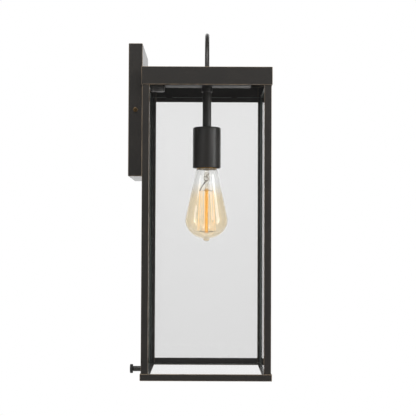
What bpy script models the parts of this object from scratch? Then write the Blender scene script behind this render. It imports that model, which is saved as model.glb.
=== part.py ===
"""Outdoor wall lantern with an open base, clear panes and a screw-in filament lamp.

Metres, +Z up.  +X points out from the wall, Y runs along the wall.  The origin is the
centre of the mounting strap's back face, on the wall plane (X = 0).
"""
import math

import bmesh
import bpy
from mathutils import Matrix, Vector

MM = 0.001
GAP = 0.3 * MM  # space kept between pieces that touch

# Driving dimensions
BODY_WIDTH = 184.3 * MM  # roof and base, square
BODY_BACK = 20.3 * MM  # the body's back face, from the wall
ROOF_TOP = 57.5 * MM
BODY_HEIGHT = 440.0 * MM
SHEET = 1.0 * MM
PLATE_DEPTH = 20.0 * MM
PLATE_WIDTH = 127.0 * MM
PLATE_HEIGHT = 191.0 * MM
SKIRT = 25.4 * MM
BASE_HEIGHT = 9.8 * MM
BASE_LEG = 10.9 * MM
POST_LEG = 10.0 * MM
PANE_THICK = 2.2 * MM
PANE_TOP = 39.2 * MM
PANE_PAD = 2.8 * MM  # setting block between a post and its pane
ARM_Z = 45.3 * MM
CROSSBAR_LENGTH = 129.0 * MM
CROSSBAR_WIDTH = 26.0 * MM
CROSSBAR_BOTTOM = 43.0 * MM
STEM_RADIUS = 6.5 * MM
STEM_BORE = 4.9 * MM
CUP_RADIUS = 20.9 * MM
CUP_TOP = -18.5 * MM
CUP_HEIGHT = 60.5 * MM
LOOP_SPAN = 122.0 * MM
LOOP_ROD = 3.25 * MM
BULB_RADIUS = 32.0 * MM
BULB_WIDEST = -157.0 * MM
BULB_DOME = 28.0 * MM
BULB_WALL = 0.9 * MM
CAP_RIM = -80.0 * MM
THREAD_PITCH = 3.629 * MM
THREAD_RADIUS = 13.2 * MM
STANDOFF_Z = -377.6 * MM
WIRE_RADIUS = 1.1 * MM

# Worked out from them
AXIS_X = BODY_BACK + BODY_WIDTH / 2  # the lamp's axis
HALF = BODY_WIDTH / 2
BASE_BOTTOM = ROOF_TOP - BODY_HEIGHT
ROOF_UNDER = ROOF_TOP - SHEET
BASE_FLOOR = BASE_BOTTOM + SHEET
POST_OUT = HALF - SHEET - GAP
PANE_OUT = POST_OUT - SHEET - GAP - PANE_PAD
PLATE_FRONT = PLATE_DEPTH
CUP_BOTTOM = CUP_TOP - CUP_HEIGHT
CROSSBAR_BACK = AXIS_X - CROSSBAR_LENGTH / 2 + 1.4 * MM
LOOP_RADIUS = LOOP_SPAN / 2

parts = bpy.data.collections.new("wall_lantern")
cutters = bpy.data.collections.new("cutters")


def clear_scene():
    for obj in list(bpy.data.objects):
        bpy.data.objects.remove(obj, do_unlink=True)
    bpy.context.scene.collection.children.link(parts)
    bpy.context.scene.collection.children.link(cutters)


# Materials -----------------------------------------------------------------------

def finish(name, colour, metallic=0.0, roughness=0.5, transmission=0.0):
    """A Principled material with one colour."""
    mat = bpy.data.materials.new(name)
    mat.use_nodes = True
    shader = mat.node_tree.nodes["Principled BSDF"]
    shader.inputs["Base Color"].default_value = (*colour, 1.0)
    shader.inputs["Metallic"].default_value = metallic
    shader.inputs["Roughness"].default_value = roughness
    shader.inputs["Transmission Weight"].default_value = transmission
    return mat


BRONZE = finish("bronze_powder_coat", (0.036, 0.032, 0.029), 0.3, 0.45)
CLEAR_GLASS = finish("clear_glass", (0.95, 0.97, 0.97), 0.0, 0.03, 1.0)
AMBER_GLASS = finish("amber_glass", (0.93, 0.72, 0.42), 0.0, 0.03, 1.0)
BRASS = finish("brass", (0.72, 0.50, 0.22), 1.0, 0.3)
STEEL = finish("zinc_steel", (0.55, 0.56, 0.56), 1.0, 0.35)
CERAMIC = finish("glazed_porcelain", (0.80, 0.78, 0.73), 0.0, 0.25)
BLACK_RUBBER = finish("black_rubber", (0.02, 0.02, 0.02), 0.0, 0.8)
BLACK_WIRE = finish("black_wire", (0.02, 0.02, 0.02), 0.0, 0.5)
WHITE_WIRE = finish("white_wire", (0.80, 0.80, 0.77), 0.0, 0.5)
COPPER = finish("copper", (0.80, 0.42, 0.25), 1.0, 0.3)
NUT_PLASTIC = finish("orange_plastic", (0.80, 0.25, 0.04), 0.0, 0.5)
GREEN_STEEL = finish("green_steel", (0.05, 0.25, 0.09), 0.8, 0.4)
BLACK_GLASS = finish("black_glass", (0.01, 0.01, 0.012), 0.0, 0.15)
FILAMENT = finish("filament_wire", (0.9, 0.45, 0.12), 0.4, 0.4)


# Building helpers ----------------------------------------------------------------

def place(obj, material, group=parts):
    group.objects.link(obj)
    if material is not None:
        obj.data.materials.append(material)
    return obj


def mesh_from(bm, name, material, group=parts):
    mesh = bpy.data.meshes.new(name)
    bm.to_mesh(mesh)
    bm.free()
    return place(bpy.data.objects.new(name, mesh), material, group)


def box(name, low, high, material, bevel=0.0, group=parts):
    """A block between two corners, its edges rounded by bevel."""
    low, high = Vector(low), Vector(high)
    size = high - low
    bm = bmesh.new()
    bmesh.ops.create_cube(bm, size=1.0, matrix=Matrix.Diagonal((*size, 1.0)))
    obj = mesh_from(bm, name, material, group)
    obj.location = (low + high) / 2
    if bevel:
        round_edges(obj, bevel)
    return obj


def round_edges(obj, width, segments=1):
    bevel = obj.modifiers.new("Rounded edges", "BEVEL")
    bevel.width = width
    bevel.segments = segments
    bevel.limit_method = "ANGLE"
    bevel.angle_limit = math.radians(40)
    return bevel


def cutter_box(name, low, high):
    obj = box(name, low, high, None, group=cutters)
    obj.hide_render = True
    obj.display_type = "WIRE"
    return obj


def cutter_rod(name, centre, axis, radius, length, sides=24):
    """A round cutter through centre along axis."""
    bm = bmesh.new()
    bmesh.ops.create_cone(bm, cap_ends=True, segments=sides, radius1=radius, radius2=radius, depth=length)
    obj = mesh_from(bm, name, None, cutters)
    obj.rotation_euler = Vector(axis).to_track_quat("Z", "Y").to_euler()
    obj.location = centre
    obj.hide_render = True
    obj.display_type = "WIRE"
    return obj


def screw_hole(name, at, axis):
    """A clearance hole for one of the fixture's small screws."""
    return cutter_rod(name, at, axis, SCREW_RADIUS + GAP, TOOL_DEPTH, 16)


def cut(obj, *tools):
    for tool in tools:
        boolean = obj.modifiers.new(tool.name, "BOOLEAN")
        boolean.operation = "DIFFERENCE"
        boolean.solver = "EXACT"
        boolean.object = tool
    return obj


def turned(name, profile, centre, material, axis=(0, 0, 1), sides=32, closed=True):
    """A turned piece: (radius, height) points, down the outer side, spun about axis."""
    mesh = bpy.data.meshes.new(name)
    edges = [(i, i + 1) for i in range(len(profile) - 1)]
    if closed and not profile[0][0] == profile[-1][0] == 0.0:
        edges.append((len(profile) - 1, 0))
    mesh.from_pydata([(r, 0.0, z) for r, z in profile], edges, [])
    obj = place(bpy.data.objects.new(name, mesh), material)
    obj.rotation_euler = Vector(axis).to_track_quat("Z", "Y").to_euler()
    obj.location = centre
    screw = obj.modifiers.new("Turned", "SCREW")
    screw.steps = sides
    screw.render_steps = sides
    screw.use_merge_vertices = True
    screw.merge_threshold = 0.00001
    screw.use_smooth_shade = True
    return obj


def outline_piece(name, outline, thickness, centre, material, hole=None, rotation=(0, 0, 0)):
    """A flat outline, with a round hole if given, thickened both ways from centre."""
    curve = bpy.data.curves.new(name, "CURVE")
    curve.dimensions = "2D"
    curve.fill_mode = "BOTH"
    curve.extrude = thickness / 2
    outlines = [outline]
    if hole:
        outlines.append(circle_points(hole, 20))
    for points in outlines:
        spline = curve.splines.new("POLY")
        spline.points.add(len(points) - 1)
        for point, (u, v) in zip(spline.points, points):
            point.co = (u, v, 0.0, 1.0)
        spline.use_cyclic_u = True
    obj = place(bpy.data.objects.new(name, curve), material)
    obj.location = centre
    obj.rotation_euler = rotation
    return obj


def circle_points(radius, sides):
    angles = [math.tau * i / sides for i in range(sides)]
    return [(radius * math.cos(a), radius * math.sin(a)) for a in angles]


def hex_nut(name, across_flats, thickness, bore, centre, material, rotation=(0, 0, 0)):
    corners = circle_points(across_flats / math.sqrt(3), 6)
    return outline_piece(name, corners, thickness, centre, material, hole=bore, rotation=rotation)


def smooth_path(route, steps):
    """Points on a Catmull-Rom curve through the route's own points."""
    route = [Vector(p) for p in route]
    ends = [2 * route[0] - route[1]] + route + [2 * route[-1] - route[-2]]
    path = []
    for before, a, b, after in zip(ends, ends[1:], ends[2:], ends[3:]):
        for step in range(steps):
            t = step / steps
            path.append(
                0.5 * (2 * a + (b - before) * t + (2 * before - 5 * a + 4 * b - after) * t**2
                       + (3 * a - before - 3 * b + after) * t**3)
            )
    path.append(route[-1])
    return path


def wire(name, points, radius, material, resolution=2):
    """A round wire or rod through points."""
    curve = bpy.data.curves.new(name, "CURVE")
    curve.dimensions = "3D"
    curve.bevel_depth = radius
    curve.bevel_resolution = resolution
    curve.use_fill_caps = True
    spline = curve.splines.new("POLY")
    spline.points.add(len(points) - 1)
    for point, co in zip(spline.points, points):
        point.co = (*co, 1.0)
    spline.use_smooth = True
    return place(bpy.data.objects.new(name, curve), material)


def on_axis(radius, angle, z):
    """A point at a radius and angle round the lamp's axis."""
    return (AXIS_X + radius * math.cos(angle), radius * math.sin(angle), z)


# Wall side -------------------------------------------------------------------------

ROOF_SCREW_Y = 30.0 * MM
NIPPLE_RADIUS = 5.0 * MM
NIPPLE_BORE = 3.5 * MM
SCREW_RADIUS = 2.0 * MM
SIDE_SCREW_X = 10.0 * MM
STRAP_THICK = 2.0 * MM
STRAP_HALF = 61.0 * MM
STRAP_HEIGHT = 20.0 * MM
BOX_SCREW_Y = 44.45 * MM  # half the 3.5 inch spacing of an outlet box's screws
SLOT_LENGTH = 16.0 * MM
SLOT_HEIGHT = 4.8 * MM
GROUND_Y = 16.0 * MM
PLATE_WALL = 1.2 * MM
TOOL_DEPTH = 8.0 * MM  # a drill cutter, longer than any wall it passes through
ALONG_X = (0, math.radians(90), 0)


def make_wall_plate():
    """A shallow pan, open at the back, that hides the outlet box."""
    y, z = PLATE_WIDTH / 2, PLATE_HEIGHT / 2
    plate = box("wall_plate", (0, -y, -z), (PLATE_FRONT, y, z), BRONZE, bevel=0.8 * MM)
    wall = PLATE_WALL
    hollow = cutter_box("plate_hollow", (-wall, wall - y, wall - z), (PLATE_FRONT - wall, y - wall, z - wall))
    at = (PLATE_FRONT, 0, ARM_Z)
    tools = [hollow, cutter_rod("plate_arm_hole", at, (1, 0, 0), NIPPLE_RADIUS + GAP, TOOL_DEPTH)]
    for side in (-1, 1):
        at = (PLATE_FRONT, side * ROOF_SCREW_Y, ARM_Z)
        tools.append(screw_hole(f"plate_roof_screw_hole_{side}", at, (1, 0, 0)))
        at = (SIDE_SCREW_X, side * y, 0)
        tools.append(screw_hole(f"plate_side_screw_hole_{side}", at, (0, 1, 0)))
    cut(plate, *tools)


def make_mounting_strap():
    """A flat bar with bent ears: slots for the outlet box, tapped ears for the plate's screws."""
    ear = 16.0 * MM
    t = STRAP_THICK
    outline = [
        (0, -STRAP_HALF), (ear, -STRAP_HALF), (ear, t - STRAP_HALF), (t, t - STRAP_HALF),
        (t, STRAP_HALF - t), (ear, STRAP_HALF - t), (ear, STRAP_HALF), (0, STRAP_HALF),
    ]
    curve = outline_piece("strap_outline", outline, STRAP_HEIGHT, (0, 0, 0), None)
    strap = curve_to_mesh(curve, "mounting_strap", STEEL)
    tools = []
    for side in (-1, 1):
        centre, long, tall = side * BOX_SCREW_Y, SLOT_LENGTH / 2, SLOT_HEIGHT / 2
        tools.append(cutter_box(f"strap_slot_{side}", (-t, centre - long, -tall), (2 * t, centre + long, tall)))
        at = (SIDE_SCREW_X, side * STRAP_HALF, 0)
        tools.append(screw_hole(f"strap_ear_hole_{side}", at, (0, 1, 0)))
    tools.append(screw_hole("strap_ground_hole", (0, GROUND_Y, 0), (1, 0, 0)))
    cut(strap, *tools)


def curve_to_mesh(curve, name, material):
    """Turn a filled curve into a closed mesh, so that it can be cut."""
    evaluated = curve.evaluated_get(bpy.context.evaluated_depsgraph_get())
    mesh = bpy.data.meshes.new_from_object(evaluated)
    bm = bmesh.new()
    bm.from_mesh(mesh)
    bmesh.ops.remove_doubles(bm, verts=bm.verts, dist=0.00001)
    bmesh.ops.recalc_face_normals(bm, faces=bm.faces)
    bm.to_mesh(mesh)
    bm.free()
    obj = place(bpy.data.objects.new(name, mesh), material)
    obj.matrix_world = curve.matrix_world.copy()
    bpy.data.objects.remove(curve)
    return obj


def screw(name, head_radius, head_height, length, at, towards, material, domed=True):
    """A screw whose head stands on the point at; its shank runs the other way."""
    crown = 0.55 if domed else 1.0
    profile = [
        (0.0, head_height), (head_radius * crown, head_height), (head_radius, head_height * 0.45),
        (head_radius, 0.0), (SCREW_RADIUS, 0.0), (SCREW_RADIUS, 0.6 * MM - length),
        (SCREW_RADIUS - 0.5 * MM, -length), (0.0, -length),
    ]
    return turned(name, profile, at, material, axis=towards, sides=16)


def make_wall_fasteners():
    for side, name in ((-1, "near"), (1, "far")):
        at = (SIDE_SCREW_X, side * (PLATE_WIDTH / 2 + GAP), 0)
        screw(f"plate_screw_{name}", 3.5 * MM, 1.6 * MM, 9 * MM, at, (0, side, 0), BRASS)
        at = (PLATE_FRONT - PLATE_WALL - GAP, side * ROOF_SCREW_Y, ARM_Z)
        screw(f"roof_screw_{name}", 3.5 * MM, 2.2 * MM, 9 * MM, at, (-1, 0, 0), STEEL)
        nut = (BODY_BACK + SHEET + GAP + 1.5 * MM, side * ROOF_SCREW_Y, ARM_Z)
        hex_nut(f"roof_nut_{name}", 7 * MM, 3 * MM, SCREW_RADIUS + GAP, nut, STEEL, rotation=ALONG_X)
    at = (STRAP_THICK + 2.3 * MM, GROUND_Y, 0)
    screw("ground_screw", 4.0 * MM, 2.0 * MM, 4.0 * MM, at, (1, 0, 0), GREEN_STEEL, domed=False)


def make_arm():
    """A hollow threaded nipple joins the plate to the roof; the coupling locks it inside."""
    start, end = 14.0 * MM, 44.0 * MM
    ring = [(NIPPLE_RADIUS, end), (NIPPLE_RADIUS, start), (NIPPLE_BORE, start), (NIPPLE_BORE, end)]
    turned("arm_nipple", ring, (0, 0, ARM_Z), STEEL, axis=(1, 0, 0), sides=24)
    nut = (PLATE_FRONT - PLATE_WALL - GAP - 1.8 * MM, 0, ARM_Z)
    hex_nut("arm_locknut", 15 * MM, 3.6 * MM, NIPPLE_RADIUS + GAP, nut, STEEL, rotation=ALONG_X)
    back, front, outer = 28.3 * MM, CROSSBAR_BACK - GAP, 10.6 * MM
    shoulder = 46.0 * MM
    inner = NIPPLE_RADIUS + GAP
    edge = 0.6 * MM
    profile = [
        (outer - edge, front), (outer, front - edge), (outer, back + edge), (outer - edge, back),
        (inner, back), (inner, shoulder), (NIPPLE_BORE + GAP, shoulder), (NIPPLE_BORE + GAP, front),
    ]
    turned("arm_coupling", profile, (0, 0, ARM_Z), BRONZE, axis=(1, 0, 0), sides=32)


# Roof --------------------------------------------------------------------------------

def make_roof_tray():
    """A square flat roof with a skirt, open below."""
    low = (BODY_BACK, -HALF, ROOF_TOP - SKIRT)
    high = (BODY_BACK + BODY_WIDTH, HALF, ROOF_TOP)
    roof = box("roof_tray", low, high, BRONZE, bevel=0.6 * MM)
    inset = Vector((SHEET, SHEET, 0))
    hollow = cutter_box("roof_hollow", Vector(low) + inset - Vector((0, 0, SHEET)),
                        Vector(high) - inset - Vector((0, 0, SHEET)))
    at = (BODY_BACK, 0, ARM_Z)
    tools = [hollow, cutter_rod("roof_arm_hole", at, (1, 0, 0), NIPPLE_RADIUS + GAP, TOOL_DEPTH)]
    for side in (-1, 1):
        at = (BODY_BACK, side * ROOF_SCREW_Y, ARM_Z)
        tools.append(screw_hole(f"roof_screw_hole_{side}", at, (1, 0, 0)))
        at = (AXIS_X, side * LOOP_RADIUS, ROOF_TOP)
        tools.append(cutter_rod(f"roof_loop_hole_{side}", at, (0, 0, 1), LOOP_ROD + GAP, TOOL_DEPTH, 20))
    cut(roof, *tools)


def make_crossbar():
    """A hat-section channel under the roof that carries the stem and hides the leads."""
    t, w, foot = 1.2 * MM, CROSSBAR_WIDTH / 2, 8.0 * MM
    low, top = CROSSBAR_BOTTOM, ROOF_UNDER - GAP
    half = [(w + foot, top), (w + foot, top - t), (w, top - t), (w, low)]
    inner = [(w - t, low + t), (w - t, top)]
    left = [(-y, z) for y, z in reversed(half)]
    outline = half + left + [(t - w, top), (t - w, low + t)] + inner
    centre = (CROSSBAR_BACK + CROSSBAR_LENGTH / 2, 0, 0)
    turn = (math.radians(90), 0, math.radians(90))
    curve = outline_piece("crossbar_outline", outline, CROSSBAR_LENGTH, centre, None, rotation=turn)
    bpy.context.view_layer.update()
    crossbar = curve_to_mesh(curve, "crossbar", BRONZE)
    cut(crossbar, cutter_rod("crossbar_stem_hole", (AXIS_X, 0, low), (0, 0, 1), STEM_RADIUS + GAP, TOOL_DEPTH))


def make_loop():
    """The round rod standing on the roof, its two threaded legs held by nuts inside."""
    leg = ROOF_UNDER - 8.0 * MM
    arch = [(AXIS_X, -LOOP_RADIUS, leg)]
    spring = ROOF_TOP + 0.3 * MM
    turns = 24
    for i in range(turns + 1):
        angle = math.pi * i / turns
        arch.append((AXIS_X, -LOOP_RADIUS * math.cos(angle), spring + LOOP_RADIUS * math.sin(angle)))
    arch.append((AXIS_X, LOOP_RADIUS, leg))
    wire("hanging_loop", arch, LOOP_ROD, BRONZE, resolution=3)
    for side, name in ((-1, "near"), (1, "far")):
        at = (AXIS_X, side * LOOP_RADIUS, ROOF_UNDER - GAP - 2.5 * MM)
        hex_nut(f"loop_nut_{name}", 10 * MM, 5 * MM, LOOP_ROD + GAP, at, STEEL)


# Stem and socket ---------------------------------------------------------------------

STEM_TOP = 49.0 * MM
STEM_FOOT = -28.0 * MM
CUP_WALL = 1.0 * MM


def make_stem():
    ring = [(STEM_RADIUS, STEM_TOP), (STEM_RADIUS, STEM_FOOT), (STEM_BORE, STEM_FOOT), (STEM_BORE, STEM_TOP)]
    turned("stem", ring, (AXIS_X, 0, 0), BRONZE, sides=28)
    inner, outer, top, low = STEM_RADIUS + GAP, 8.2 * MM, CROSSBAR_BOTTOM - GAP, 34.6 * MM
    edge = 0.9 * MM
    ring = [(outer, top), (outer, low + edge), (outer - edge, low), (inner, low), (inner, top)]
    turned("stem_collar", ring, (AXIS_X, 0, 0), BRONZE, sides=28)
    nut = (AXIS_X, 0, CROSSBAR_BOTTOM + 1.2 * MM + GAP + 1.7 * MM)
    hex_nut("stem_locknut", 18 * MM, 3.4 * MM, STEM_RADIUS + GAP, nut, STEEL)


def make_socket():
    inner, edge = CUP_RADIUS - CUP_WALL, 2.2 * MM
    corner = [
        (CUP_RADIUS - edge + edge * math.sin(a), CUP_TOP - edge + edge * math.cos(a))
        for a in (0.0, math.pi / 6, math.pi / 3, math.pi / 2)
    ]
    hole = STEM_RADIUS + GAP
    profile = [(hole, CUP_TOP)] + corner + [
        (CUP_RADIUS, CUP_BOTTOM), (inner, CUP_BOTTOM), (inner, CUP_TOP - edge),
        (inner - edge * 0.6, CUP_TOP - CUP_WALL), (hole, CUP_TOP - CUP_WALL),
    ]
    turned("socket_cup", profile, (AXIS_X, 0, 0), BRONZE, sides=40)

    under = CUP_TOP - CUP_WALL - GAP
    t, leg, foot, floor = 1.2 * MM, 13.0 * MM, 5.0 * MM, -43.7 * MM
    half = [(leg, under), (leg, floor + t), (leg + foot * 0.8, floor + t), (leg + foot * 0.8, floor)]
    inner_half = [(leg - t, floor), (leg - t, under - t)]
    right = half + inner_half
    outline = right + [(-y, z) for y, z in reversed(right)]
    turn = (math.radians(90), 0, math.radians(90))
    curve = outline_piece("bracket_outline", outline, 19 * MM, (AXIS_X, 0, 0), None, rotation=turn)
    bpy.context.view_layer.update()
    bracket = curve_to_mesh(curve, "socket_bracket", STEEL)
    cut(bracket, cutter_rod("bracket_hole", (AXIS_X, 0, under), (0, 0, 1), hole, TOOL_DEPTH))
    round_edges(bracket, 0.1 * MM)
    nut = (AXIS_X, 0, under - t - GAP - 2.0 * MM)
    hex_nut("socket_nut", 17 * MM, 4 * MM, STEM_RADIUS + GAP, nut, STEEL)

    top, lip = -44.0 * MM, -77.0 * MM
    body, seat = 18.2 * MM, 15.6 * MM
    profile = [(0.0, top), (body, top), (body, lip), (seat, lip), (seat, top - 5 * MM), (0.0, top - 5 * MM)]
    turned("socket_insulator", profile, (AXIS_X, 0, 0), CERAMIC, sides=32)

    high, low, inside, outside = top - 5.3 * MM, CAP_RIM - 0.3 * MM, 13.8 * MM, 14.5 * MM
    profile = [
        (outside, high), (outside, low + 2.0 * MM), (outside + 0.7 * MM, low + 1.0 * MM), (outside, low),
        (inside, low), (inside, high),
    ]
    turned("socket_shell", profile, (AXIS_X, 0, 0), BRASS, sides=32)
    box("socket_contact", (AXIS_X - 7 * MM, -2.5 * MM, top - 6.1 * MM),
        (AXIS_X + 7 * MM, 2.5 * MM, top - 5.3 * MM), BRASS, bevel=0.2 * MM)


# Leads ----------------------------------------------------------------------------------

def lead_route(side, terminal_y):
    """One lead from the socket up the stem, along the crossbar, through the arm, into the plate."""
    off = side * 1.4 * MM
    high = 52.0 * MM
    return [
        (AXIS_X + side * 8.5 * MM, 0, -42.4 * MM), (AXIS_X + side * 6.0 * MM, 0, -36.0 * MM),
        (AXIS_X + side * 1.6 * MM, 0, -29.0 * MM), (AXIS_X + off, 0, -18.0 * MM),
        (AXIS_X + off * 0.7, off * 0.7, 0.0), (AXIS_X, off, 20.0 * MM), (AXIS_X, off, 36.0 * MM),
        (AXIS_X - 0.4 * MM, off, 44.0 * MM), (AXIS_X - 3.0 * MM, off, 49.8 * MM),
        (AXIS_X - 9.0 * MM, off, high), (AXIS_X - 22.0 * MM, off, high), (AXIS_X - 40.0 * MM, off, 51.0 * MM),
        (60.0 * MM, off, 47.4 * MM), (50.0 * MM, off, ARM_Z + 0.6 * MM), (40.0 * MM, off, ARM_Z),
        (28.0 * MM, off, ARM_Z), (16.0 * MM, off, ARM_Z),
        (9.6 * MM, off * 1.4, 42.6 * MM), (7.4 * MM, off * 3, 35.0 * MM),
        (8.6 * MM, terminal_y * 0.85, 26.5 * MM),
        (10.0 * MM, terminal_y, 20.0 * MM), (10.0 * MM, terminal_y, 15.0 * MM),
        (10.0 * MM, terminal_y, 9.0 * MM),
    ]


def make_leads():
    nut_y = 20.0 * MM
    for side, name, material in ((-1, "hot", BLACK_WIRE), (1, "neutral", WHITE_WIRE)):
        wire(f"{name}_lead", smooth_path(lead_route(side, side * nut_y), 2), WIRE_RADIUS, material)
        make_wire_nut(f"{name}_wire_nut", (10.0 * MM, side * nut_y, 16.0 * MM), (0, 0, 1))
    hook = 3.3 * MM
    x = STRAP_THICK + GAP + 0.9 * MM
    turn = [
        (x, GROUND_Y + hook * math.cos(a), hook * math.sin(a))
        for a in (math.radians(d) for d in range(-60, 181, 30))
    ]
    run = [(x + 0.2 * MM, GROUND_Y - 3.6 * MM, -6.0 * MM), (5.0 * MM, GROUND_Y + 2 * MM, -17.0 * MM),
           (10.0 * MM, GROUND_Y + 8 * MM, -23.0 * MM), (10.0 * MM, GROUND_Y + 8 * MM, -28.0 * MM),
           (10.0 * MM, GROUND_Y + 8 * MM, -34.0 * MM)]
    wire("ground_lead", smooth_path(turn + run, 2), 0.9 * MM, COPPER)
    make_wire_nut("ground_wire_nut", (10.0 * MM, GROUND_Y + 8 * MM, -27.0 * MM), (0, 0, 1))


def make_wire_nut(name, mouth, axis):
    """A tapered cap, open at the mouth, that grips a lead's end."""
    length, mouth_radius, tip_radius, hole, depth = 20 * MM, 5.0 * MM, 2.6 * MM, 1.7 * MM, 10 * MM
    profile = [
        (0.0, -depth), (hole, -depth), (hole, 0.0), (mouth_radius - 0.6 * MM, 0.0), (mouth_radius, -0.8 * MM),
        (tip_radius + 0.4 * MM, 1.2 * MM - length), (tip_radius - 0.6 * MM, -length), (0.0, -length),
    ]
    turned(name, profile, mouth, NUT_PLASTIC, axis=axis, sides=12, closed=False)


# Frame ------------------------------------------------------------------------------------

SIDES = {"near": 0, "front": 1, "far": 2, "back": 3}  # quarter turns round the lamp's axis from near


def turned_place(obj, quarter):
    """Swing an object made on the near side round the lamp's axis."""
    pivot = Matrix.Translation((AXIS_X, 0, 0))
    swing = pivot @ Matrix.Rotation(math.radians(90 * quarter), 4, "Z")
    bpy.context.view_layer.update()
    obj.matrix_world = swing @ obj.matrix_world
    return obj


def make_posts():
    """Four lengths of light angle, one in each corner."""
    low, high = BASE_FLOOR + GAP, ROOF_UNDER - GAP
    t, leg = SHEET, POST_LEG
    outline = [(0, 0), (leg, 0), (leg, t), (t, t), (t, leg), (0, leg)]
    names = ("back_near", "front_near", "front_far", "back_far")
    for quarter, name in enumerate(names):
        centre = (-POST_OUT, -POST_OUT, (low + high) / 2)
        post = outline_piece(f"post_{name}", outline, high - low, centre, BRONZE)
        turned_place(post, quarter)


def pane_face(name):
    """How far a pane's outer face is from the axis. The back one is flush, to clear the arm."""
    return PANE_OUT + PANE_PAD if name == "back" else PANE_OUT


def make_panes():
    """Clear glass behind the posts: two full panes and two between them."""
    low = BASE_FLOOR + GAP
    for name, quarter in SIDES.items():
        out = pane_face(name)
        half = PANE_OUT - GAP if quarter % 2 == 0 else PANE_OUT - PANE_THICK - 2 * GAP
        pane = box(f"pane_{name}", (-half, -out, low), (half, PANE_THICK - out, PANE_TOP),
                   CLEAR_GLASS, bevel=0.3 * MM)
        turned_place(pane, quarter)


def make_clips():
    """Bent tabs on the skirt that hook over the panes' top edges."""
    t, tall, drop, width = 0.7 * MM, 47.0 * MM, 36.4 * MM, 9.5 * MM
    outer = HALF - SHEET - GAP
    ledge = PANE_TOP + GAP
    turn = (math.radians(90), 0, math.radians(90))
    for name, quarter in SIDES.items():
        inner = pane_face(name) - PANE_THICK - GAP
        outline = [
            (-outer, tall), (t - outer, tall), (t - outer, ledge + t), (t - inner, ledge + t),
            (t - inner, drop), (-inner, drop), (-inner, ledge), (-outer, ledge),
        ]
        for along, end in ((60.0 * MM, "a"), (-43.0 * MM, "b")):
            clip = outline_piece(f"clip_{name}_{end}", outline, width, (along, 0, 0), BRONZE, rotation=turn)
            turned_place(clip, quarter)


def make_base():
    """A welded ring of angle: a low flange outside the posts and a narrow floor under them."""
    low, high = (BODY_BACK, -HALF, BASE_BOTTOM), (BODY_BACK + BODY_WIDTH, HALF, BASE_BOTTOM + BASE_HEIGHT)
    base = box("base_frame", low, high, BRONZE, bevel=0.6 * MM)
    wall, leg = Vector((SHEET, SHEET, 0)), Vector((BASE_LEG, BASE_LEG, 0))
    rise = Vector((0, 0, SHEET))
    tray = cutter_box("base_tray", Vector(low) + wall + rise, Vector(high) - wall + rise)
    opening = cutter_box("base_opening", Vector(low) + leg - rise, Vector(high) - leg + rise)
    stud = cutter_rod("base_stud_hole", (BODY_BACK, 0, STANDOFF_Z), (1, 0, 0), 2.0 * MM + GAP, 6 * MM, 16)
    cut(base, tray, opening, stud)


def make_standoff():
    """A threaded barrel and rubber foot that keep the base off the wall."""
    foot, height, edge = 6.65 * MM, 4.2 * MM, 0.6 * MM
    at = (0, 0, STANDOFF_Z)
    profile = [(0.0, height), (foot - edge, height), (foot, height - edge), (foot, edge), (foot - edge, 0.0),
               (0.0, 0.0)]
    turned("standoff_foot", profile, at, BLACK_RUBBER, axis=(1, 0, 0), sides=24)
    radius, start, end, bore, blind = 3.9 * MM, height + GAP, 15.8 * MM, 2.3 * MM, 6.0 * MM
    profile = [(bore, end), (radius, end), (radius, start), (0.0, start)]
    inner = [(0.0, blind), (bore, blind)]
    turned("standoff_barrel", inner + profile, at, BRONZE, axis=(1, 0, 0), sides=24, closed=False)
    tip, flange, head = 10.6 * MM, BODY_BACK + SHEET + GAP, 3.4 * MM
    profile = [(0.0, flange + 0.9 * MM), (head, flange + 0.9 * MM), (head, flange), (2.0 * MM, flange),
               (2.0 * MM, tip), (0.0, tip)]
    turned("standoff_stud", profile, at, STEEL, axis=(1, 0, 0), sides=16)


# Lamp ---------------------------------------------------------------------------------------

SHOULDER_RADIUS = 16.4 * MM
SHOULDER_Z = -82.6 * MM
NECK_RADIUS = 11.5 * MM
CAGE_TOP = (10.6 * MM, -114.0 * MM)
CAGE_BOTTOM = (13.4 * MM, -172.6 * MM)
HAIRPINS = 7


def bulb_profile():
    """The envelope from its neck down to the tip: a cone that runs tangent into a half ellipse."""
    wide, deep = BULB_RADIUS, BULB_DOME
    a, b = SHOULDER_RADIUS / wide, (SHOULDER_Z - BULB_WIDEST) / deep
    touch = math.atan2(b, a) - math.acos(1 / math.hypot(a, b))
    points = [(NECK_RADIUS, -73.0 * MM), (NECK_RADIUS, CAP_RIM - 0.6 * MM), (14.6 * MM, -81.0 * MM)]
    start = Vector((SHOULDER_RADIUS, SHOULDER_Z))
    tangent = Vector((wide * math.cos(touch), BULB_WIDEST + deep * math.sin(touch)))
    cone_steps, dome_steps = 3, 9
    points += [tuple(start.lerp(tangent, i / cone_steps)) for i in range(cone_steps)]
    pip = 3.4 * MM
    last = -math.acos(pip / wide)
    for i in range(dome_steps + 1):
        angle = touch + (last - touch) * i / dome_steps
        points.append((wide * math.cos(angle), BULB_WIDEST + deep * math.sin(angle)))
    tip = BULB_WIDEST - deep
    points += [(2.6 * MM, tip - 2.0 * MM), (0.0, tip - 3.4 * MM)]
    return points


def make_envelope():
    envelope = turned("lamp_envelope", bulb_profile(), (AXIS_X, 0, 0), AMBER_GLASS, sides=32, closed=False)
    wall = envelope.modifiers.new("Glass wall", "SOLIDIFY")
    wall.thickness = BULB_WALL
    wall.offset = -1.0


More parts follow.
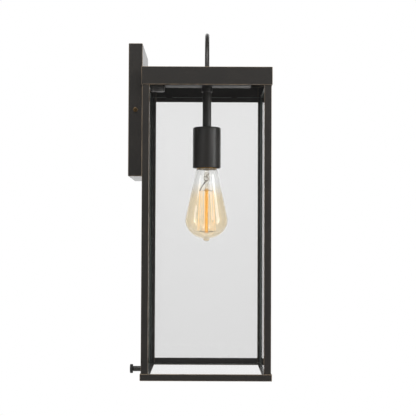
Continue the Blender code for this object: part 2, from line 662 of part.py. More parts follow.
def make_lamp_cap():
    """A rolled brass screw cap: rounded threads, drawn here as rings."""
    rim, top, turns, per_turn = CAP_RIM, -57.0 * MM, 5, 4
    crest, depth, wall = THREAD_RADIUS, 0.8 * MM, 0.5 * MM
    start = top - 1.6 * MM
    outer = [(8.2 * MM, top), (10.6 * MM, top)]
    for i in range(turns * per_turn + 1):
        wave = 0.5 * (1 - math.cos(math.tau * i / per_turn))
        outer.append((crest - depth + depth * wave, start - THREAD_PITCH * i / per_turn))
    outer += [(crest, rim + 1.2 * MM), (crest, rim)]
    inner_radius = crest - depth - wall
    inner = [(inner_radius + 0.1 * MM, rim), (inner_radius, rim + 1.0 * MM), (inner_radius, top - 2.0 * MM),
             (8.2 * MM, top - 0.6 * MM)]
    turned("lamp_cap", outer + inner, (AXIS_X, 0, 0), BRASS, sides=28)
    glass_top = -53.2 * MM
    profile = [(0.0, glass_top), (5.6 * MM, glass_top), (7.8 * MM, top + 0.3 * MM), (7.8 * MM, top), (0.0, top)]
    turned("lamp_cap_insulator", profile, (AXIS_X, 0, 0), BLACK_GLASS, sides=24)
    crown = glass_top + GAP
    profile = [(0.0, crown + 1.2 * MM), (3.0 * MM, crown + 1.0 * MM), (4.6 * MM, crown), (0.0, crown)]
    turned("lamp_eyelet", profile, (AXIS_X, 0, 0), BRASS, sides=24)


def make_lamp_mount():
    """The glass stem inside: flare, pinch, centre rod and its two buttons."""
    rod = 1.6 * MM
    upper, lower = -112.3 * MM, -174.6 * MM
    profile = [
        (0.0, -70.5 * MM), (8.4 * MM, -70.5 * MM), (8.4 * MM, -71.8 * MM), (4.6 * MM, -76.0 * MM),
        (3.4 * MM, -84.0 * MM), (3.0 * MM, -97.0 * MM), (rod, -102.0 * MM), (rod, upper + 1.6 * MM),
        (3.2 * MM, upper + 0.6 * MM), (3.2 * MM, upper - 0.6 * MM), (rod, upper - 1.6 * MM),
        (rod, lower + 1.4 * MM), (2.8 * MM, lower + 0.4 * MM), (2.4 * MM, lower - 0.7 * MM),
        (0.0, lower - 1.2 * MM),
    ]
    turned("lamp_mount", profile, (AXIS_X, 0, 0), CLEAR_GLASS, sides=20)


def make_filament():
    """One long wire laced up and down between the two buttons' hooks, open at the leads."""
    points = []
    strands = 2 * HAIRPINS
    for i in range(strands):
        angle = math.radians(200) + math.radians(340) * i / (strands - 1)
        ends = (CAGE_TOP, CAGE_BOTTOM) if i % 2 == 0 else (CAGE_BOTTOM, CAGE_TOP)
        for radius, z in ends:
            points.append(on_axis(radius, angle, z))
    wire("lamp_filament", points, 0.2 * MM, FILAMENT, resolution=1)
    for name, angle in (("a", math.radians(200)), ("b", math.radians(540))):
        radius, z = CAGE_TOP
        route = [on_axis(4.2 * MM, angle, -96.0 * MM), on_axis(5.0 * MM, angle, -102.0 * MM),
                 on_axis(radius, angle, z + 1.0 * MM)]
        wire(f"lead_in_wire_{name}", smooth_path(route, 3), 0.3 * MM, STEEL, resolution=1)


# Joints ---------------------------------------------------------------------------------------

def hang_on_axis(name, at, axis, *pieces):
    """An empty on a joint's axis, its Z along the axis, that carries the pieces which move on it."""
    empty = bpy.data.objects.new(name, None)
    bpy.context.scene.collection.objects.link(empty)
    empty.location = at
    empty.rotation_euler = Vector(axis).to_track_quat("Z", "Y").to_euler()
    bpy.context.view_layer.update()
    for piece in pieces:
        obj = parts.objects[piece]
        world = obj.matrix_world.copy()
        obj.parent = empty
        obj.matrix_world = world


def make_joint_axes():
    down, out = (0, 0, -1), (1, 0, 0)
    hang_on_axis("lamp_drop_axis", (AXIS_X, 0, CAP_RIM), down, "lamp_eyelet")
    hang_on_axis("lamp_turn_axis", (AXIS_X, 0, CAP_RIM), down, "lamp_envelope", "lamp_cap",
                 "lamp_cap_insulator", "lamp_mount", "lamp_filament", "lead_in_wire_a", "lead_in_wire_b")
    hang_on_axis("standoff_travel_axis", (0, 0, STANDOFF_Z), out, "standoff_foot")
    hang_on_axis("standoff_turn_axis", (SIDE_SCREW_X, 0, STANDOFF_Z), out, "standoff_barrel")


def build():
    clear_scene()
    make_wall_plate()
    make_mounting_strap()
    make_wall_fasteners()
    make_arm()
    make_roof_tray()
    make_crossbar()
    make_loop()
    make_stem()
    make_socket()
    make_leads()
    make_posts()
    make_panes()
    make_clips()
    make_base()
    make_standoff()
    make_envelope()
    make_lamp_cap()
    make_lamp_mount()
    make_filament()
    make_joint_axes()
    for obj in parts.objects:
        if obj.type == "MESH":
            obj.data.shade_smooth()
            obj.data.set_sharp_from_angle(angle=math.radians(35))
    print(len(parts.objects), "pieces")


build()
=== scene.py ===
# %% [markdown]
# # An outdoor wall lantern
# A square box of folded steel hangs in front of a shallow wall plate. Clear panes close its four
# sides, its base is open, and a screw-in filament lamp hangs from a socket in the middle. This file
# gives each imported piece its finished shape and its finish, in its packed place. Folded and ground
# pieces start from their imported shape. Turned ones are spun again from an outline in millimetres.

# %% Load the frame
import math

import bmesh
import bpy
import numpy as np
from mathutils import Matrix, Vector


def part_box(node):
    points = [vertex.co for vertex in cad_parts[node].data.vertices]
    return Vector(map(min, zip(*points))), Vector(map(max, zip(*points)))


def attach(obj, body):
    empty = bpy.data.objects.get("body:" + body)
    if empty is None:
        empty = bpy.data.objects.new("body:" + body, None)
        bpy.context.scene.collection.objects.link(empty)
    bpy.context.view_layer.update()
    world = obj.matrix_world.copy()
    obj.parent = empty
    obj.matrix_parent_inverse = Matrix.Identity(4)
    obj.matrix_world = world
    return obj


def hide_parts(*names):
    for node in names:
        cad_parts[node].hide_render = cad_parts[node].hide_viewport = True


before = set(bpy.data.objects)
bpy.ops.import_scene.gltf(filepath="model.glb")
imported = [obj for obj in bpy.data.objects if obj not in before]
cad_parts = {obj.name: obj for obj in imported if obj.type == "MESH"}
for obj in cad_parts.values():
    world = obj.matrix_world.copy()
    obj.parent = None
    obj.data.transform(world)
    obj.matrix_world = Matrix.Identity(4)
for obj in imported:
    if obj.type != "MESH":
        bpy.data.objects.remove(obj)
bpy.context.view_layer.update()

# %% Lengths and directions that the pieces share
MM = 0.001
UP, OUT = (0, 0, 1), (1, 0, 0)
BODY = "fixture"
roof_low, roof_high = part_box("roof_tray")
LAMP_AXIS = ((roof_low.x + roof_high.x) / 2, 0.0, 0.0)
print("the lamp hangs", round(LAMP_AXIS[0] / MM, 2), "mm from the wall")

# %% [markdown]
# ## Colour and node helpers
# Colours are written as sRGB hex values, the way paint cards and screens give them, and Blender's
# shaders want linear light. One function does that. One more adds a node, sets its own settings
# and joins its inputs, so that a material reads as a list of what it is made of.

# %% Linear colour from hex, and one way to add a node
MATH = "ShaderNodeMath"


def linear(hex_colour):
    """An sRGB hex colour as linear red, green, blue and alpha."""
    parts = [int(hex_colour[i:i + 2], 16) / 255 for i in (1, 3, 5)]
    return tuple(c / 12.92 if c <= 0.04045 else ((c + 0.055) / 1.055) ** 2.4 for c in parts) + (1.0,)


def add(tree, kind, inputs=(), out=0, **settings):
    """Adds a node and gives its first output, or the one that out names. inputs are sockets to join
    or values to set: a tuple in the order of the node's inputs, or a dict by their names."""
    made = tree.nodes.new(kind)
    for name, value in settings.items():
        setattr(made, name, value)
    for key, value in inputs.items() if isinstance(inputs, dict) else enumerate(inputs):
        if isinstance(value, bpy.types.NodeSocket):
            tree.links.new(value, made.inputs[key])
        else:
            made.inputs[key].default_value = value
    return made.outputs[out] if made.outputs else None


def finish(name, colour, **sockets):
    """A Principled material. sockets are its own inputs, with spaces written as underscores."""
    material = bpy.data.materials.new(name)
    material.use_nodes = True
    shader = material.node_tree.nodes["Principled BSDF"]
    shader.inputs["Base Color"].default_value = linear(colour)
    for key, value in sockets.items():
        shader.inputs[key.replace("_", " ")].default_value = value
    return material, material.node_tree, shader


def feed(shader, **sockets):
    """Joins patterns to a shader's inputs, with spaces written as underscores."""
    for key, pattern in sockets.items():
        shader.id_data.links.new(pattern, shader.inputs[key.replace("_", " ")])


def noise(tree, size_mm, detail=2.0, stretch=(1, 1, 1)):
    """Noise whose blobs are about size_mm across, on Object coordinates, squeezed by stretch."""
    place = add(tree, "ShaderNodeTexCoord", out="Object")
    mapped = add(tree, "ShaderNodeMapping", {"Vector": place, "Scale": stretch})
    return add(tree, "ShaderNodeTexNoise", {
        "Vector": mapped, "Scale": 1 / (size_mm * MM), "Detail": detail})


def between(tree, factor, low, high):
    """The range low to high as factor goes from 0.3 to 0.7, where noise has most of its values."""
    return add(tree, "ShaderNodeMapRange", {
        "Value": factor, "From Min": 0.3, "From Max": 0.7, "To Min": low, "To Max": high})


def tint(tree, factor, first, second):
    """A colour from first to second as factor goes from 0 to 1."""
    return add(tree, "ShaderNodeMix", {"Factor": factor, "A": linear(first), "B": linear(second)},
               out="Result", data_type="RGBA")


def bumped(tree, shader, height, depth_mm, strength):
    """Gives the shader a bump of depth_mm from height."""
    feed(shader, Normal=add(tree, "ShaderNodeBump", {
        "Height": height, "Distance": depth_mm * MM, "Strength": strength}))


print("dark bronze in linear light:", [round(v, 3) for v in linear("#3b3836")[:3]])

# %% [markdown]
# ## Bronze powder coat
# The steel is powder coated: a dark bronze polyester powder is sprayed on dry and melted in an
# oven. It leaves an even, satin film with a fine orange peel, because the powder never flows quite
# flat. The film pulls thin at folded edges, and handling wears those to a warm brown line. Edge faces
# get their own material, so that the wear stays on real edges from every side. That material is
# also lighter all along the edge, a painted highlight of the line that a fold's corner catches.

# %% Powder coat, and the same coat where an edge has worn it, lighter there as a painted highlight
def powder_coat(name, film, thin, roughness):
    """A sprayed film, clouded from its full colour to its thin one."""
    material, tree, shader = finish(name, film, IOR=1.5)
    clouds = noise(tree, 38, detail=3.0)
    speckle = noise(tree, 2.2)
    shade = add(tree, MATH, (clouds, speckle, 0.12), operation="MULTIPLY_ADD")
    feed(shader, Base_Color=tint(tree, between(tree, shade, 0.0, 1.0), film, thin),
         Roughness=between(tree, speckle, roughness - 0.04, roughness + 0.05))
    # Real orange peel is taken to be about 0.5 mm across. It is drawn coarser, so that it can show.
    bumped(tree, shader, noise(tree, 1.2, detail=1.0), 0.05, 0.35)
    return material


def worn_and_highlit_edge(name, film, brown):
    """The coat on an edge, lighter than the flat coat as a painted highlight: noise uncovers brown wear
    patches along it.
    """
    material, tree, shader = finish(name, film, IOR=1.5)
    rubbed = noise(tree, 9, detail=4.0, stretch=(1, 1, 0.35))
    feed(shader, Base_Color=tint(tree, between(tree, rubbed, 0.25, 1.0), film, brown),
         Roughness=between(tree, rubbed, 0.5, 0.38))
    return material


COAT = powder_coat("bronze_powder_coat", "#2b2927", "#34302c", 0.35)
# Edge faces: brown wear patches on a colour lighter than the flat coat, a painted highlight of the fold's
# light line.
WORN_AND_HIGHLIT = worn_and_highlit_edge("bronze_coat_worn_to_brown", "#3a342e", "#8d7a63")
# Inside the roof the coat is rougher, and darker as painted shade.
INSIDE_PAINTED_SHADE = powder_coat("bronze_powder_coat_rough_inside", "#242221", "#2b2825", 0.6)
print(COAT.name, WORN_AND_HIGHLIT.name, INSIDE_PAINTED_SHADE.name)

# %% [markdown]
# ## Glass
# The panes are float glass, so flat that only the glint of their surfaces shows. A flat pane bends
# nothing that the eye can see, so it is made of a clear shader and a mirror shader, mixed by the
# angle of view. The mirror's share starts at 4% straight on and rises as on a real surface, but is
# stopped at a half by choice, where real glass would go on. The clear shader is a little darker
# towards the open base. The bulb is curved, so it needs true refraction. It is blown clear at the
# neck and stained a pale amber below.

# %% Float glass, its ground edge, and blown glass
def surface_shine(tree, straight_on=0.04, along=0.5):
    """How much a clear surface mirrors, the same from inside and outside, rising as Schlick's rule
    does. Real clean glass would mirror fully along its surface. Here the share stops at a half,
    which is a chosen look."""
    facing = add(tree, "ShaderNodeLayerWeight", {"Blend": 0.5}, out="Facing")
    power = add(tree, MATH, (facing, 5.0), operation="POWER")
    return add(tree, "ShaderNodeMapRange", {"Value": power, "To Min": straight_on, "To Max": along})


def along_height(tree, low_mm, high_mm):
    """0 at low_mm and 1 at high_mm, by height in the frame."""
    place = add(tree, "ShaderNodeTexCoord", out="Object")
    height = add(tree, "ShaderNodeSeparateXYZ", (place,), out="Z")
    return add(tree, "ShaderNodeMapRange", {
        "Value": height, "From Min": low_mm * MM, "From Max": high_mm * MM},
        interpolation_type="SMOOTHSTEP")


def float_glass(name, darker_mm, clearer_mm):
    """Clear glass with a mirror's shine, a little darker at one height and clearer at another."""
    material = bpy.data.materials.new(name)
    material.use_nodes = True
    tree = material.node_tree
    tree.nodes.clear()
    film = noise(tree, 60, detail=3.0)
    height = along_height(tree, darker_mm, clearer_mm)
    # The clear shader darkens slightly towards the base, with a little random variation.
    clearer = add(tree, MATH, (film, 0.12, height), operation="MULTIPLY_ADD")
    clear = add(tree, "ShaderNodeBsdfTransparent", {"Color": tint(tree, clearer, "#f9f9f9", "#fcfcfc")})
    gloss = add(tree, "ShaderNodeBsdfGlossy", {"Roughness": 0.0, "Color": linear("#ffffff")})
    mixed = add(tree, "ShaderNodeMixShader", (surface_shine(tree), clear, gloss))
    add(tree, "ShaderNodeOutputMaterial", {"Surface": mixed})
    return material


def ground_edge(name, mean, dark, light):
    """Cut and ground glass: a frosted grey-green band with fine lines from the wheel."""
    material, tree, shader = finish(name, mean, Roughness=0.35, IOR=1.5, Transmission_Weight=0.2)
    lines = noise(tree, 0.8, stretch=(1, 1, 0.15))
    feed(shader, Base_Color=tint(tree, lines, dark, light))
    bumped(tree, shader, lines, 0.05, 0.4)
    return material


def blown_glass(name, neck, body, low_mm, high_mm):
    """Thin blown glass, refracting, its stain running from neck colour to body colour."""
    material, tree, shader = finish(name, neck, Roughness=0.0, IOR=1.47, Transmission_Weight=1.0)
    cloud = noise(tree, 14, detail=1.0)
    height = along_height(tree, low_mm, high_mm)
    edge = add(tree, MATH, (cloud, 0.25, height), operation="MULTIPLY_ADD")
    level_edge = add(tree, MATH, (edge, 0.125), operation="SUBTRACT", use_clamp=True)
    feed(shader, Base_Color=tint(tree, level_edge, body, neck))
    return material


PANE_GLASS = float_glass("float_glass", darker_mm=-382, clearer_mm=40)
PANE_EDGE = ground_edge("ground_glass_edge", "#5f6b66", "#47514d", "#77837e")
BULB_GLASS = blown_glass("blown_glass_stained_amber", "#fefefd", "#fcf3e1", -128, -98)
print(PANE_GLASS.name, PANE_EDGE.name, BULB_GLASS.name)

# %% [markdown]
# ## Metals, ceramics and plastics
# Small parts each have a finish of their own. Zinc plating is grey with a blotchy sheen, rolled
# brass has fine lines round it and dulls in spots, porcelain is glazed with a few specks, and wire
# insulation and nylon are moulded smooth. Metals keep Blender's own IOR, with Metallic at 1.

# %% Small-part finishes
def metal(name, bright, dull, roughness, grain_mm, stretch=(1, 1, 1)):
    """A bare or plated metal: patches of dull over bright, and grain that breaks its sheen."""
    material, tree, shader = finish(name, bright, Metallic=1.0)
    patches = noise(tree, 6, detail=4.0)
    grain = noise(tree, grain_mm, stretch=stretch)
    feed(shader, Base_Color=tint(tree, between(tree, patches, 0, 1), bright, dull),
         Roughness=between(tree, grain, roughness - 0.08, roughness + 0.1))
    bumped(tree, shader, grain, 0.02, 0.3)
    return material


def moulded(name, colour, shade, roughness, grain_mm=1.0, **sockets):
    """A moulded or glazed solid: slight clouding and a fine surface texture."""
    material, tree, shader = finish(name, colour, IOR=1.5, **sockets)
    clouds = noise(tree, 5, detail=3.0)
    grain = noise(tree, grain_mm, detail=1.0)
    feed(shader, Base_Color=tint(tree, between(tree, clouds, 0, 1), colour, shade),
         Roughness=between(tree, grain, roughness - 0.05, roughness + 0.08))
    bumped(tree, shader, grain, 0.02, 0.25)
    return material


BRASS = metal("rolled_brass", "#d9b36a", "#a57a3c", 0.28, 0.5, (1, 1, 4))
ZINC = metal("zinc_plated_steel", "#b9bcbd", "#8c9092", 0.34, 0.7)
SCREW = metal("bronze_plated_steel", "#4a4239", "#6a573c", 0.36, 0.6)
WORN_BRASS = metal("brass_worn_by_the_driver", "#8c7148", "#5f4b2c", 0.45, 0.6)
COPPER = metal("drawn_copper", "#c98a64", "#94583a", 0.3, 0.6)
GREEN = metal("green_dyed_zinc", "#3f7a4c", "#28583a", 0.4, 0.6)
PORCELAIN = moulded("glazed_porcelain", "#e6e1d5", "#d8d0c0", 0.18, 1.4, Coat_Weight=0.6,
                    Coat_Roughness=0.08)
BLACK_GLASS = moulded("fused_black_glass", "#121213", "#1c1c1e", 0.12)
BLACK_WIRE = moulded("black_wire_insulation", "#161616", "#222222", 0.42)
WHITE_WIRE = moulded("white_wire_insulation", "#dedcd2", "#cfcbbd", 0.42)
ORANGE = moulded("orange_nylon", "#d2631c", "#b9500f", 0.46)
RUBBER = moulded("moulded_black_rubber", "#1a1a1a", "#242423", 0.72, 0.6)
print("small finishes:", len([m for m in bpy.data.materials if m.users == 0]), "waiting for pieces")

# %% [markdown]
# ## Glowing tungsten
# The filament glows a golden yellow, a little unevenly along its length. The glass rod inside the
# cage catches that light, and that light is painted on it: an amber tint and a weak glow of its own.

# %% Filament, its support wires and the glass mount
def glowing(name, hot, cool, strength, size_mm):
    """A hot wire whose glow varies between two colours along its height."""
    material, tree, shader = finish(name, hot, Roughness=0.5, Metallic=0.6, Emission_Strength=strength)
    coil = noise(tree, size_mm, detail=1.0, stretch=(0.2, 0.2, 1))
    feed(shader, Emission_Color=tint(tree, between(tree, coil, 0, 1), cool, hot))
    return material


def glass_painted_with_filament_light(name, clear, amber, glow, strength, high_mm, low_mm):
    """Clear lead glass that turns to amber between two heights and glows below them, as painted filament
    light.
    """
    material, tree, shader = finish(name, clear, Roughness=0.03, IOR=1.52, Transmission_Weight=0.85,
                                    Emission_Strength=strength)
    cage = along_height(tree, high_mm, low_mm)
    uneven = between(tree, noise(tree, 5), 0.8, 1.0)
    lit = add(tree, MATH, (cage, uneven), operation="MULTIPLY")
    feed(shader, Base_Color=tint(tree, cage, clear, amber),
         Emission_Color=tint(tree, lit, "#000000", glow))
    return material


TUNGSTEN = glowing("glowing_tungsten", "#ffd083", "#ffb454", 1.6, 3.0)
SUPPORT = metal("molybdenum_wire", "#7a6a58", "#3d2f20", 0.42, 0.8)
# The mount's amber tint and glow are painted light from the filament.
MOUNT_GLASS_PAINTED_LIGHT = glass_painted_with_filament_light("lead_glass_mount", "#fbf7ee", "#cda24c", "#cf9c42", 0.62, -109, -114)
print(TUNGSTEN.name, SUPPORT.name, MOUNT_GLASS_PAINTED_LIGHT.name)

# %% [markdown]
# ## Shaping helpers
# Four ways of making cover nearly every piece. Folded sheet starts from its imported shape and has
# its edges rounded, since a press brake never leaves a sharp corner. Turned and drawn parts are
# spun from an outline. Rods and wires are a round section carried along a path. What repeats is
# grown by Geometry Nodes, then turned into a plain mesh.

# %% Keeping a finished piece
def keep(piece, slot, *nodes, body=BODY):
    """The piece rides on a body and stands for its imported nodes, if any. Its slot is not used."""
    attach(piece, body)
    if nodes:
        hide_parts(*nodes)
    triangles = sum(len(p.vertices) - 2 for p in piece.data.polygons)
    print(f"{piece.name}: {triangles} triangles, stands for {len(nodes)}")
    return piece


def linked(name, mesh, *materials):
    """A new object at the origin with its mesh and materials."""
    obj = bpy.data.objects.new(name, mesh)
    bpy.context.scene.collection.objects.link(obj)
    mesh.materials.clear()
    for material in materials:
        mesh.materials.append(material)
    return obj


def shade(mesh, sharp):
    """Shades a mesh smooth between edges sharper than an angle in degrees."""
    mesh.shade_smooth()
    mesh.set_sharp_from_angle(angle=math.radians(sharp))


def settle(obj, sharp=35):
    """Applies the modifiers. Without an angle, the shading that they made stays."""
    evaluated = obj.evaluated_get(bpy.context.evaluated_depsgraph_get())
    mesh = bpy.data.meshes.new_from_object(evaluated)
    obj.modifiers.clear()
    obj.data = mesh
    mesh.name = obj.name
    if sharp:
        shade(mesh, sharp)
    return obj


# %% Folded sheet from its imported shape
WELD = 0.002 * MM
FLAT_WITHIN, CREASE, FOLD = math.radians(0.6), 12, math.radians(28)


def merged_copy(node):
    """The node's mesh with its loose triangles joined and its flat faces whole."""
    bm = bmesh.new()
    bm.from_mesh(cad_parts[node].data)
    bmesh.ops.remove_doubles(bm, verts=bm.verts, dist=WELD)
    bmesh.ops.dissolve_limit(bm, angle_limit=FLAT_WITHIN, verts=bm.verts, edges=bm.edges)
    mesh = bpy.data.meshes.new(node)
    bm.to_mesh(mesh)
    bm.free()
    if "custom_normal" in mesh.attributes:
        mesh.attributes.remove(mesh.attributes["custom_normal"])
    return mesh


def formed(name, node, materials, radius_mm, flat_only=None):
    """Folded or ground stock: edges rounded by radius_mm, edge faces in the second material.
    flat_only, an axis number, leaves only the faces across that axis in the first material."""
    obj = linked(name, merged_copy(node), *materials)
    shade(obj.data, CREASE)
    for face in obj.data.polygons:
        along = [abs(v) for v in face.normal]
        plain = max(along) > 0.99 if flat_only is None else along[flat_only] > 0.99
        face.material_index = 0 if plain or len(materials) == 1 else 1
    bevel = obj.modifiers.new("folded edge", "BEVEL")
    bevel.width = radius_mm * MM
    bevel.segments = 2
    bevel.limit_method = "ANGLE"
    bevel.angle_limit = FOLD
    # The bevel's own normals keep the flat faces flat, so that they mirror without ripples.
    bevel.harden_normals = True
    bevel.material = len(materials) - 1
    return settle(obj, sharp=0)


# %% Turned parts from an outline
ON_AXIS = 1e-6
LONGEST_CUT, TOO_SHORT, NEARLY_STRAIGHT = 0.45, 1e-4, math.radians(168)


def corner(before, here, after, radius, steps=4):
    """Points that round one corner of an outline, or the point itself where there is no corner."""
    before, point, after = Vector(before), Vector(here), Vector(after)
    a, b = before - point, after - point
    reach = min(radius, a.length * LONGEST_CUT, b.length * LONGEST_CUT)
    if here[0] < ON_AXIS or reach < TOO_SHORT or a.angle(b) > NEARLY_STRAIGHT:
        return [here]
    start, end = point + a.normalized() * reach, point + b.normalized() * reach
    shares = [step / steps for step in range(steps + 1)]
    return [tuple(start.lerp(point, t).lerp(point.lerp(end, t), t)) for t in shares]


def eased(outline, radius):
    """Rounds the corners of a closed outline, apart from those on the axis."""
    result = []
    for i, here in enumerate(outline):
        result += corner(outline[i - 1], here, outline[(i + 1) % len(outline)], radius)
    return result


def filled(outline, step):
    """Adds points to a closed outline so that none are more than step apart in height."""
    result = []
    for (r0, z0), (r1, z1) in zip(outline, outline[1:] + outline[:1]):
        count = max(1, math.ceil(abs(z1 - z0) / step))
        result += [(r0 + (r1 - r0) * i / count, z0 + (z1 - z0) * i / count) for i in range(count)]
    return result


def rings(radius, start, step, count):
    """Outline points at one radius, a step apart in height, for a thread to be cut into."""
    return [(radius, start + step * i) for i in range(count)]


def turned(name, outline, material, at=LAMP_AXIS, axis=UP, segments=96, reshape=None):
    """Spins a closed outline of (radius, height) in mm about an axis through a point.
    reshape takes radii, heights and angles and returns radii and heights, for threads and knurls."""
    angles = np.arange(segments) * (math.tau / segments)
    radii, turn = np.meshgrid([p[0] for p in outline], angles)
    heights, _ = np.meshgrid([p[1] for p in outline], angles)
    on_axis = radii < ON_AXIS
    if reshape:
        radii, heights = reshape(radii, heights, turn)
        radii = np.where(on_axis, 0.0, radii)
    points = np.stack([radii * np.cos(turn), radii * np.sin(turn), heights], -1).reshape(-1, 3) * MM
    count = len(outline)
    faces = []
    for i in range(segments):
        here, there = i * count, (i + 1) % segments * count
        for j in range(count):
            k = (j + 1) % count
            if outline[j][0] >= ON_AXIS or outline[k][0] >= ON_AXIS:
                faces.append((here + j, there + j, there + k, here + k))
    mesh = bpy.data.meshes.new(name)
    mesh.from_pydata([tuple(p) for p in points], [], faces)
    bm = bmesh.new()
    bm.from_mesh(mesh)
    bmesh.ops.remove_doubles(bm, verts=bm.verts, dist=0.0005 * MM)
    bmesh.ops.dissolve_degenerate(bm, edges=bm.edges, dist=0.0001 * MM)
    bmesh.ops.recalc_face_normals(bm, faces=bm.faces)
    swing = Vector(axis).to_track_quat("Z", "Y").to_matrix().to_4x4()
    bm.transform(Matrix.Translation(at) @ swing)
    bm.to_mesh(mesh)
    bm.free()
    shade(mesh, 40)
    return linked(name, mesh, material)


def thread(pitch, depth, low, high, inside=0.0):
    """A reshape that cuts a right-hand thread of a pitch and depth between two heights.
    Points nearer the axis than inside keep their place."""
    fade = 0.6 * pitch

    def reshape(radii, heights, turn):
        wave = 0.5 - 0.5 * np.cos(math.tau * (heights / pitch - turn / math.tau))
        ends = np.clip((heights - low) / fade, 0, 1) * np.clip((high - heights) / fade, 0, 1)
        return np.where(radii > inside, radii - depth * wave * ends, radii), heights
    return reshape


# %% Wires along a path
def rounded_path(route, steps=8):
    """Points on a smooth curve through the route's own points."""
    ends = [2 * route[0] - route[1]] + route + [2 * route[-1] - route[-2]]
    path = []
    for before, a, b, after in zip(ends, ends[1:], ends[2:], ends[3:]):
        for step in range(steps):
            t = step / steps
            path.append(0.5 * (2 * a + (b - before) * t + (2 * before - 5 * a + 4 * b - after) * t ** 2
                               + (3 * a - before - 3 * b + after) * t ** 3))
    return path + [route[-1]]


def wire(name, route_mm, radius_mm, material):
    """A round wire with closed ends, along a route in mm from the lamp's axis, as a plain mesh."""
    curve = bpy.data.curves.new(name, "CURVE")
    curve.dimensions = "3D"
    curve.bevel_depth = radius_mm * MM
    curve.bevel_resolution = 3
    curve.use_fill_caps = True
    path = rounded_path([Vector(p) * MM + Vector(LAMP_AXIS) for p in route_mm])
    spline = curve.splines.new("POLY")
    spline.points.add(len(path) - 1)
    for point, co in zip(spline.points, path):
        point.co = (*co, 1.0)
    host = bpy.data.objects.new(name + "_path", curve)
    bpy.context.scene.collection.objects.link(host)
    evaluated = host.evaluated_get(bpy.context.evaluated_depsgraph_get())
    mesh = bpy.data.meshes.new_from_object(evaluated)
    bpy.data.objects.remove(host)
    bm = bmesh.new()
    bm.from_mesh(mesh)
    bmesh.ops.remove_doubles(bm, verts=bm.verts, dist=0.001 * MM)
    bmesh.ops.recalc_face_normals(bm, faces=bm.faces)
    bm.to_mesh(mesh)
    bm.free()
    shade(mesh, 50)
    return linked(name, mesh, material)


# %% Geometry Nodes to a plain mesh
def new_tree(name, **inputs):
    """A Geometry Nodes tree with named inputs. Each input is its socket type's short name."""
    tree = bpy.data.node_groups.new(name, "GeometryNodeTree")
    tree.interface.new_socket(name="Geometry", in_out="OUTPUT", socket_type="NodeSocketGeometry")
    for label, kind in inputs.items():
        tree.interface.new_socket(name=label, in_out="INPUT", socket_type="NodeSocket" + kind)
    return tree, add(tree, "NodeGroupInput").node.outputs


def turned_copies(tree, piece, count, step, start=0.0):
    """Copies of a piece about the Z axis, a step in radians apart."""
    points = add(tree, "GeometryNodeMeshLine", {"Count": count, "Offset": (0, 0, 0)})
    number = add(tree, "GeometryNodeInputIndex")
    bearing = add(tree, MATH, (number, step, start), operation="MULTIPLY_ADD")
    spin = add(tree, "ShaderNodeCombineXYZ", {"Z": bearing})
    return add(tree, "GeometryNodeInstanceOnPoints", {
        "Points": points, "Instance": piece, "Rotation": spin})


def round_bar(tree, curve, radius, sides):
    """A round section carried along a curve, with closed ends."""
    section = add(tree, "GeometryNodeCurvePrimitiveCircle", {"Resolution": sides, "Radius": radius})
    return add(tree, "GeometryNodeCurveToMesh", {
        "Curve": curve, "Profile Curve": section, "Fill Caps": True})


def end_tree(tree, geometry, material_socket):
    """Realize Instances and Set Material, then the tree's output."""
    real = add(tree, "GeometryNodeRealizeInstances", (geometry,))
    dressed = add(tree, "GeometryNodeSetMaterial", {"Geometry": real, "Material": material_socket})
    add(tree, "NodeGroupOutput", (dressed,))


def grow(name, tree, sharp=35, **values):
    """Runs a tree, its inputs set by their sockets' identifiers, and keeps the result as a mesh."""
    host = bpy.data.objects.new(name, bpy.data.meshes.new(name))
    bpy.context.scene.collection.objects.link(host)
    modifier = host.modifiers.new(name, "NODES")
    modifier.node_group = tree
    for item in tree.interface.items_tree:
        if item.in_out == "INPUT":
            modifier[item.identifier] = values[item.name]
    return settle(host, sharp)


print("helpers ready")

# %% [markdown]
# ## Folded steel: plate, roof, base and crossbar
# Plate, roof and crossbar are each one blank of sheet steel, cut and folded. The base is four
# strips of angle, joined at their ends. All are 1 or 1.2 mm thick. A fold's outer corner catches the
# light. A bevel on the imported shape gives that line, and on the plate, roof and base its faces
# take the worn coat, whose lighter colour paints that highlight as well as showing wear.

# %% Sheet pieces
# Flat faces take the coat. Edge faces take the worn coat, lightened as a painted highlight.
sheet = (COAT, WORN_AND_HIGHLIT)
keep(formed("backplate_pan", "wall_plate", sheet, 0.45), "bronze", "wall_plate")
keep(formed("roof_cap", "roof_tray", sheet, 0.3), "bronze", "roof_tray")
keep(formed("base_ring", "base_frame", sheet, 0.3), "bronze", "base_frame")
# The crossbar sits inside the roof and takes the darker coat, which is painted shade.
keep(formed("roof_channel", "crossbar", (INSIDE_PAINTED_SHADE,), 0.35), "bronze", "crossbar")

# %% [markdown]
# ## Corner posts and pane clips
# The four posts are the same length of light angle, and six of the eight spring clips the same bent
# tab. One of each is shaped, and a Geometry Nodes tree sets copies of it round the lamp's axis, a
# quarter turn apart, so one change to the pattern reaches them all.
# The two clips of the back pane are shorter, because that pane lies close to its posts.

